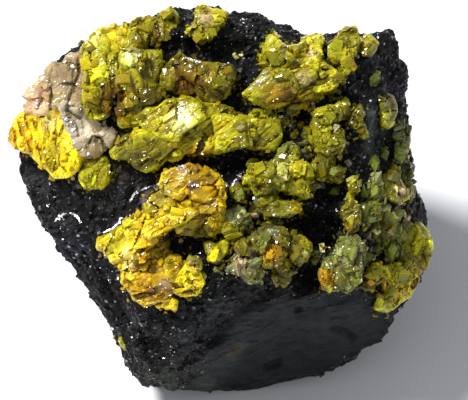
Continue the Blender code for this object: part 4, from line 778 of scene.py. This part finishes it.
def add_bump(tree, shader, size, strength, distance):
    """Bumps of about a size, as high as a distance."""
    bump = add_node(tree, "ShaderNodeBump", Strength=strength, Distance=distance * MM)
    tree.links.new(add_noise(tree, size), bump.inputs["Height"])
    tree.links.new(bump.outputs["Normal"], shader.inputs["Normal"])


def tinted_material(name, tint, roughness, bump, sockets):
    """Material with the colours stored at the points. Tint and roughness are each given as for add_range, and
    bumps as for add_bump."""
    material, tree, shader = new_material(name)
    tree.links.new(add_tint(tree, add_range(tree, *tint)), shader.inputs["Base Color"])
    tree.links.new(add_range(tree, *roughness), shader.inputs["Roughness"])
    if bump:
        add_bump(tree, shader, *bump)
    for socket, value in sockets.items():
        shader.inputs[socket].default_value = value
    return material


def orpiment_material():
    return tinted_material("orpiment_look", (0.22, 0.75, 1.25), (0.9, 0.14, 0.38), (0.22, 0.3, 0.04), {
        "IOR": 1.6, "Specular IOR Level": 0.2, "Coat Weight": 0.2, "Coat Roughness": 0.07,
        "Subsurface Weight": 0.25, "Subsurface Radius": (1.0, 0.7, 0.05), "Subsurface Scale": 0.6 * MM,
    })


def rock_material():
    sockets = {"IOR": 1.4, "Specular IOR Level": 0.16}
    return tinted_material("rock_look", (0.8, 0.6, 1.5), (1.4, 0.3, 0.6), (0.18, 0.5, 0.06), sockets)


def glassy_material():
    return tinted_material("glassy_look", (0.3, 0.6, 1.5), (1.4, 0.1, 0.4), None, {"IOR": 1.55})


def calcite_material():
    return tinted_material("calcite_look", (1.2, 0.75, 1.2), (0.5, 0.08, 0.25), (0.3, 0.3, 0.05), {
        "IOR": 1.6, "Subsurface Weight": 0.5, "Subsurface Radius": (1.0, 0.7, 0.5),
        "Subsurface Scale": 1.2 * MM,
    })


def floor_material():
    material, tree, shader = new_material("floor_look")
    shader.inputs["Base Color"].default_value = (*FLOOR_COLOUR, 1)
    tree.links.new(add_range(tree, 6.0, 0.55, 0.75), shader.inputs["Roughness"])
    return material


# ---- pieces that stand for the solids


def dress_crystals(name, look, tree, material):
    """A mass of crystals with its faces broken up into small planes."""
    node = "orpiment_" + name
    piece = even_mesh(node, CRYSTAL_VOXEL)
    points, normals, places = surface_of(piece)
    turn, thickness, strength = look.leaves or (len(node) * 37, 1.0, 0.0)
    turned = places @ turning(turn)
    lively = 1 - CALM_SHARE * calmness(places)
    facing = np.clip(normals @ FACE_OUT, 0, 1)
    (bold, plain, small), numbers = zip(*(broken(turned, planes) for planes in (BOLD, PLAIN, SMALL)))
    leafy, leaf_number, gap = leaves(places, turn, thickness)
    out = FACE_OUT * ((bold * look.bold + LEAF_RELIEF * leafy * strength) * lively * facing)[:, None]
    out = out + normals * ((plain + small) * look.fine * lively)[:, None] + sideways(normals) * look.grow
    moved = within_box(points + out * MM)
    leaf_number = 0.5 + (leaf_number - 0.5) * lively
    shades = [*zip(numbers, PLANE_SHADES), (leaf_number, LEAF_SHADE * strength)]
    colours = crystal_colours(look.colour, places, shades, distances(tree, points))
    # Painted shade: darker down hollows and in the gaps between leaves, lighter on ridges, amber where dark.
    dark = sum(shade * hollowness(piece.data, moved, normals, rounds)
               for rounds, shade in PAINTED_HOLLOW_SHADES.items())
    dark = dark + PAINTED_GAP_SHADE * strength * gap * lively * facing
    colours = colours * np.clip(1.05 - dark, *PAINTED_SHADE_LIMITS)[:, None] ** PAINTED_SHADE_POWERS
    finish_mesh(piece, moved, colours, material)
    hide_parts(node)
    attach(piece, "root")
    return piece


def dress_rock(material, crystals):
    piece = even_mesh("matrix", ROCK_VOXEL)
    points, normals, places = surface_of(piece)
    slate = slate_share(places, normals)
    rough = broken(places, ROCK_BROAD)[0] + broken(places, ROCK_FINE)[0]
    streaks = broken(places @ turning(SLATE_GRAIN), SLATE_STREAKS)[0]
    groove = on_lines(places, ROCK_GROOVES) * np.clip(0.5 - 2 * normals[:, 1], 0, 1)
    near, far = SWELL_REACH
    swell = ROCK_SWELL * np.clip((far - distances(crystals, points)) / (far - near), 0, 1)
    height = rough * (1 - SLATE_SMOOTH * slate) + streaks * slate - GROOVE_DEPTH * groove
    height += swell - ROCK_SINK
    moved = within_box(points + normals * height[:, None] * MM)
    on_foot = points[:, 2] < FOOT_HEIGHT * MM
    moved[on_foot, 2] = points[on_foot, 2]
    # Painted shade in the grooves.
    colours = rock_colours(places, normals) * (1 - PAINTED_GROOVE_SHADE * groove[:, None])
    finish_mesh(piece, moved, colours, material)
    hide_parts("matrix")
    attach(piece, "root")
    return piece


def dress_calcite(material):
    piece = even_mesh("calcite_vein", CRYSTAL_VOXEL)
    points, normals, places = surface_of(piece)
    cracked = on_lines(places, [(line, CRACK_WIDTH) for line in CALCITE_CRACKS])
    height = broken(places, CALCITE_BROAD)[0] + broken(places, CALCITE_FINE)[0] - CRACK_DEPTH * cracked
    band = leaves(places, *CALCITE_BANDS)[1]
    shade = (1 - CRACK_SHADE * cracked) * (1 + BAND_SHADE * (band - 0.5))
    out = normals * height[:, None] + sideways(normals) * CALCITE_GROWTH
    colours = patched(CALCITE, places, CALCITE_PATCHES) * shade[:, None]
    finish_mesh(piece, within_box(points + out * MM), colours, material)
    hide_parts("calcite_vein")
    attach(piece, "root")
    return piece


# ---- small crystals


def crystal_shape(cuts, skew):
    """Points and triangles of a crystal of radius 1, a skewed block with some corners cut off."""
    bm = bmesh.new()
    for corner in np.ndindex(2, 2, 2):
        bm.verts.new(1.3 * (np.array(corner) - 0.5) + rng.uniform(-skew, skew, 3))
    hull = bmesh.ops.convex_hull(bm, input=bm.verts)
    bmesh.ops.delete(bm, geom=hull["geom_interior"], context="VERTS")
    for cut in range(cuts):
        direction = Vector(rng.normal(size=3)).normalized()
        geometry = bm.verts[:] + bm.edges[:] + bm.faces[:]
        reach = rng.uniform(0.5, 0.75)
        found = bmesh.ops.bisect_plane(bm, geom=geometry, plane_co=direction * reach, plane_no=direction,
                                       clear_outer=True)
        edges = [item for item in found["geom_cut"] if isinstance(item, bmesh.types.BMEdge)]
        if edges:
            bmesh.ops.edgeloop_fill(bm, edges=edges)
    bmesh.ops.triangulate(bm, faces=bm.faces)
    bmesh.ops.recalc_face_normals(bm, faces=bm.faces)
    points = np.array([vert.co for vert in bm.verts])
    triangles = np.array([[vert.index for vert in face.verts] for face in bm.faces])
    bm.free()
    return points, triangles


CRYSTAL_SHAPES = [crystal_shape(3, 0.28) for number in range(24)]
GRAIN_SHAPES = [crystal_shape(0, 0.25) for number in range(24)]


def turned_to(direction, wobble):
    """Turn that brings a flat side to face roughly in a direction, spun at random about it."""
    third = unit(direction + wobble * rng.normal(size=3))
    first = unit(np.cross(third, rng.normal(size=3)))
    return np.stack((first, np.cross(third, first), third), 1)


def any_radius(smallest, largest, count=None):
    """A radius between the two, more often small, or an array of so many."""
    return smallest + (largest - smallest) * rng.uniform(size=count) ** 2


def joined_object(name, crystals, material):
    """One mesh of many crystals, each given as points in metres, triangles and the points' colours."""
    points, triangles, colours = zip(*crystals)
    starts = np.cumsum([0] + [len(part) for part in points])
    all_triangles = np.concatenate([part + start for part, start in zip(triangles, starts)])
    all_points = np.concatenate(points)
    mesh = bpy.data.meshes.new(name)
    mesh.from_pydata(all_points, [], all_triangles)
    item = new_object(name, mesh)
    finish_mesh(item, within_box(all_points), np.concatenate(colours), material)
    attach(item, "root")


def strewn_object(name, sites, shapes, material, slot, flat=1.0, wobble=5.0):
    """One mesh of small crystals, the flatter the smaller `flat` is. A site is (place in metres, normal,
    radius, colour)."""
    crystals = []
    for place, normal, radius, colour in sites:
        points, triangles = any_of(shapes)
        stretch = rng.uniform((0.8, 0.5, 0.7), (1.6, 1.0, 1.2)) * (1, 1, flat)
        points = (points * stretch) @ turned_to(normal, wobble).T * radius
        heights = points @ normal / (radius * np.linalg.norm(normal))
        # Painted shade towards each crystal's foot.
        crystals.append((points * MM + place, triangles, footed(colour, heights)))
    joined_object(name, crystals, material)


# ---- where small crystals grow


def raised(place, normal, share, radius):
    """Middle of a crystal, a share of its radius above a surface."""
    return place + normal * share * radius * MM


def face_site(tree, u, v):
    """Place in metres and normal where a line into the face at (u, v) meets the tree's surface."""
    hit, normal = tree.ray_cast(Vector(from_face((u, v, ABOVE_FACE))), -Vector(FACE_OUT))[:2]
    return (None, None) if hit is None else (np.array(hit), np.array(normal))


def top_site(trees, u, v):
    """Place and normal of the highest of several trees' surfaces at (u, v)."""
    found = [face_site(tree, u, v) for tree in trees]
    return max((site for site in found if site[0] is not None), key=lambda site: site[0] @ FACE_OUT)


def area_of(piece):
    """Area of a piece's surface in square mm."""
    return sum(polygon.area for polygon in piece.data.polygons) / MM ** 2


def mesh_sites(piece, count, facing_least, facing_most=2.0):
    """Middles and normals of random faces of a mesh that face outward by the given amounts."""
    polygons = piece.data.polygons
    normals = read_vectors(polygons, "normal")
    areas = np.empty(len(polygons), np.float32)
    polygons.foreach_get("area", areas)
    facing = normals @ FACE_OUT
    weights = areas * (facing > facing_least) * (facing < facing_most)
    chosen = rng.choice(len(polygons), size=count, p=weights / weights.sum())
    return read_vectors(polygons, "center")[chosen], normals[chosen]


def chunk_body(place, axes, length, width, colour):
    """One of the blocks that a larger crystal is made of."""
    points, triangles = any_of(CRYSTAL_SHAPES)
    lean = turned_to(np.array((0.0, 0.0, 1.0)), 0.25) @ turning(rng.uniform(-CHUNK_TWIST, CHUNK_TWIST))
    body = points @ lean.T * (0.95 * length, 0.85 * width, 0.9 * width)
    middle = rng.uniform(-CHUNK_SPREAD, CHUNK_SPREAD, 3) * (length, width, width)
    return (body + middle) @ axes.T * MM + place, triangles, footed(any_colour((colour,)), points @ lean[2])


def chunk_bud(place, axes, length, width, colour):
    """One of the small crystals grown on a larger one."""
    direction = unit(rng.normal(size=3))
    direction[2] = abs(direction[2])
    middle = place + (axes @ (direction * (length, width, 0.7 * width))) * 0.85 * MM
    points, triangles = any_of(CRYSTAL_SHAPES)
    radius = rng.uniform(*CHUNK_BUD_SIZES) * width
    small = points * (1.3, 0.8, 0.7) @ turned_to(axes @ direction, 0.3).T * radius
    shade = footed(any_colour((colour, colour, colour, OLIVE)), 0.2 + points @ direction)
    return small * MM + middle, triangles, shade


def chunk_crystals(u, v, length, width, turn, colour, trees):
    """A larger crystal lying on the face, and smaller ones grown on it."""
    place, normal = top_site(trees, u, v)
    third = unit(normal + FACE_OUT + 0.4 * rng.normal(size=3))
    along = from_face_direction((math.cos(math.radians(turn)), math.sin(math.radians(turn)), 0.0))
    second = unit(np.cross(third, along))
    axes = np.stack((np.cross(second, third), second, third), 1)
    bodies = [chunk_body(place, axes, length, width, colour) for number in range(CHUNK_BODIES)]
    buds = range(int(CHUNK_BUDS * length * width))
    return bodies + [chunk_bud(place, axes, length, width, colour) for number in buds]


def nugget_sites(u, v, radius, colour, tree):
    """A crystal, and smaller ones grown on it."""
    place, normal = face_site(tree, u, v)
    middle = raised(place, normal, 0.4, radius)
    sites = [(middle, normal, radius, any_colour((colour,)))]
    for number in range(int(NUGGET_BUDS * radius)):
        direction = unit(rng.normal(size=3)) + 0.6 * normal
        small = radius * rng.uniform(*NUGGET_BUD_SIZES)
        place = middle + direction * radius * 0.6 * MM
        sites.append((place, direction, small, any_colour((colour, colour, OLIVE))))
    return sites


def crust_sites(tree, u, v, wide, high, density, smallest, largest, colours):
    """Random sites over a crust's oval, thinning out to its edge."""
    sites = []
    for number in range(int(4 * wide * high * density)):
        across, along = rng.uniform(-1, 1, 2)
        if across ** 2 + along ** 2 > rng.uniform(0.4, 1.0):
            continue
        place, normal = face_site(tree, u + across * wide, v + along * high)
        if place is None:
            continue
        radius = any_radius(smallest, largest)
        sites.append((raised(place, normal, 0.4, radius), normal, radius, any_colour(colours)))
    return sites


def halo_sites(piece, base, tree):
    """Small crystals on the rock beside a mass, like its own but darker."""
    faces = [face for face in piece.data.polygons if abs(face.normal @ Vector(FACE_OUT)) < HALO_FACING]
    count = int(sum(face.area for face in faces) / MM ** 2 * HALO_DENSITY)
    places, normals = mesh_sites(piece, count, -HALO_FACING, HALO_FACING)
    away = rng.uniform(0, 1, len(places)) ** 1.5 * HALO_WIDTH
    spread = to_face(places + normals * away[:, None] * MM)
    sites = []
    for (u, v, h), gap, colour in zip(spread, away, patched(base, to_face(places))):
        place, normal = face_site(tree, u, v)
        if place is None:
            continue
        radius = any_radius(*HALO_RADII) * (1 - 0.4 * gap / HALO_WIDTH)
        shade = rng.uniform(*HALO_SHADES)
        sites.append((raised(place, normal, 0.4, radius), normal, radius, colour * shade))
    return sites


def strewn_sites(piece, base, density, radii, stand):
    """Crystals grown on a mass, their middles `stand` radii above its surface."""
    places, normals = mesh_sites(piece, int(area_of(piece) * 0.5 * density), 0.0)
    calm = calmness(to_face(places))
    sites = []
    for place, normal, colour, still in zip(places, normals, patched(base, to_face(places)), calm):
        if rng.uniform() < still:
            continue
        radius = any_radius(*radii)
        shade = rng.uniform(0.65, 1.4) * np.array((1, rng.uniform(0.88, 1.1), 1))
        sites.append((raised(place, normal, stand, radius), normal, radius, colour * shade))
    return sites


def grain_sites(rock):
    """Dark and glassy grains on the rock, but not on its foot and the slaty face."""
    places, normals = mesh_sites(rock, GRAIN_COUNT, -2.0)
    keep = rng.uniform(size=len(places)) > slate_share(to_face(places), normals)
    keep &= places[:, 2] > GRAINLESS_HEIGHT * MM
    places, normals = places[keep], normals[keep]
    sites = []
    for place, normal, own in zip(places, normals, rock_colours(to_face(places), normals)):
        colour = np.array(GLASSY if rng.uniform() < GLASSY_GRAINS else own) * rng.uniform(0.6, 1.6)
        radius = any_radius(*GRAIN_RADII)
        sites.append((raised(place, normal, -0.3, radius), normal, radius, colour))
    return sites


def sparkle_sites(piece, density, colour):
    """Small facets among a piece's own that show the sun to the camera."""
    facing = from_face_direction(GLARE_FACING)
    count = int(area_of(piece) * 0.5 * density)
    places, normals = mesh_sites(piece, count, 0.2)
    radii = any_radius(*SPARKLE_RADII, count)
    directions = facing + SPARKLE_WOBBLE * rng.normal(size=(count, 3))
    return [(raised(place, normal, 0.2, radius), direction, radius, colour)
            for place, normal, direction, radius in zip(places, normals, directions, radii)]


def wet_sites(trees):
    """Facets that show the sun to the camera, along the wet lines and at the wet spots."""
    facing = from_face_direction(GLARE_FACING)
    spots = []
    for line in WET_LINES:
        for (u0, v0), (u1, v1) in zip(line[:-1], line[1:]):
            steps = max(2, int(math.hypot(u1 - u0, v1 - v0) / (0.8 * WET_RADIUS)))
            for i in range(steps):
                spots.append((u0 + (u1 - u0) * i / steps, v0 + (v1 - v0) * i / steps, WET_RADIUS))
    for u, v, radius in WET_SPOTS:
        offsets = 0.5 * radius * rng.normal(size=(WET_FACETS, 2))
        for across, along in offsets:
            spots.append((u + across, v + along, radius * rng.uniform(*WET_FACET_SIZES)))
    sites = []
    for u, v, radius in spots:
        place, normal = top_site(trees, u, v)
        sites.append((raised(place, normal, 0.3, radius), facing, radius, GLASSY))
    return sites


# ---- the scene


def add_floor(material):
    bm = bmesh.new()
    bmesh.ops.create_grid(bm, x_segments=8, y_segments=8, size=FLOOR_SIZE)
    mesh = bpy.data.meshes.new("floor")
    bm.to_mesh(mesh)
    bm.free()
    mesh.materials.append(material)
    floor = new_object("floor", mesh)


def add_camera():
    data = bpy.data.cameras.new("camera")
    data.lens = CAMERA_LENS
    data.clip_start = CAMERA_CLIP
    camera = new_object("camera", data)
    camera.location = from_face((CAMERA_SHIFT, 0.0, CAMERA_DISTANCE))
    camera.rotation_euler = Matrix(FACE_AXES).transposed().to_euler()
    bpy.context.scene.camera = camera


def add_lights():
    data = bpy.data.lights.new("sun", "SUN")
    data.energy = SUN_STRENGTH
    data.angle = SUN_ANGLE
    sun = new_object("sun", data)
    sun.rotation_euler = Vector(SUN_FROM).to_track_quat("Z", "Y").to_euler()
    world = bpy.data.worlds.new("sky")
    world.use_nodes = True
    background = world.node_tree.nodes["Background"]
    background.inputs["Color"].default_value = (*SKY_COLOUR, 1)
    background.inputs["Strength"].default_value = SKY_STRENGTH
    bpy.context.scene.world = world


def dress_solids(orpiment):
    """The masses of crystals with their looks, the vein and the rock."""
    rock_solid = solids_tree(["matrix"])
    masses = [(dress_crystals(name, look, rock_solid, orpiment), look) for name, look in LOOKS.items()]
    vein = dress_calcite(calcite_material())
    crystals = solids_tree(["orpiment_" + name for name in LOOKS] + ["calcite_vein"])
    return masses, vein, dress_rock(rock_material(), crystals)


def gathered(groups):
    """One list of everything in several lists."""
    return [item for group in groups for item in group]


def add_crystals(masses, ground_tree, trees, orpiment):
    """The small crystals on the rock and on the masses."""
    def grow(name, sites, **form):
        strewn_object(name, sites, CRYSTAL_SHAPES, orpiment, "orpiment", **form)

    grow("crust", gathered(crust_sites(ground_tree, *crust) for crust in CRUSTS))
    grow("halo", gathered(halo_sites(piece, look.colour, ground_tree) for piece, look in masses))
    joined_object("chunks", gathered(
        chunk_crystals(*chunk, colour, trees) for colour, group in CHUNKS.items() for chunk in group
    ), orpiment)
    grow("nuggets", gathered(
        nugget_sites(*nugget, colour, ground_tree) for colour, group in NUGGETS.items() for nugget in group
    ))
    blocks, strewn = [], []
    for piece, look in masses:
        blocks += strewn_sites(piece, look.colour, look.blocks, BLOCK_RADII, -0.1)
        strewn += strewn_sites(piece, look.colour, look.strewn, STREWN_RADII, 0.1)
    grow("blocks", blocks, flat=0.6, wobble=0.2)
    grow("strewn", strewn, flat=0.8, wobble=0.5)


def add_glints(masses, ground, trees, orpiment):
    """The rock's grains, and the facets that catch the sun."""
    glassy = glassy_material()
    strewn_object("grains", grain_sites(ground), GRAIN_SHAPES, glassy, "rock")
    sparkles = sparkle_sites(ground, ROCK_SPARKLES, GLASSY)
    on_slate = inside(to_face(np.array([site[0] for site in sparkles])), SLATE_OUTLINE)
    sites = wet_sites(trees) + [site for site, hidden in zip(sparkles, on_slate) if not hidden]
    strewn_object("wet_spots", sites, GRAIN_SHAPES, glassy, "rock", flat=0.4, wobble=0.0)
    sites = gathered(sparkle_sites(piece, LOOK_SPARKLES * look.strewn, look.colour) for piece, look in masses)
    strewn_object("sparkles", sites, GRAIN_SHAPES, orpiment, "orpiment", flat=0.5, wobble=0.0)


def main():
    bpy.context.scene.view_settings.view_transform = "Standard"
    add_camera()
    add_lights()
    add_floor(floor_material())
    orpiment = orpiment_material()
    masses, vein, ground = dress_solids(orpiment)
    graph = bpy.context.evaluated_depsgraph_get()
    pieces = [ground, vein] + [piece for piece, look in masses]
    trees = [BVHTree.FromObject(piece, graph) for piece in pieces]
    add_crystals(masses, trees[0], trees, orpiment)
    add_glints(masses, ground, trees, orpiment)


main()
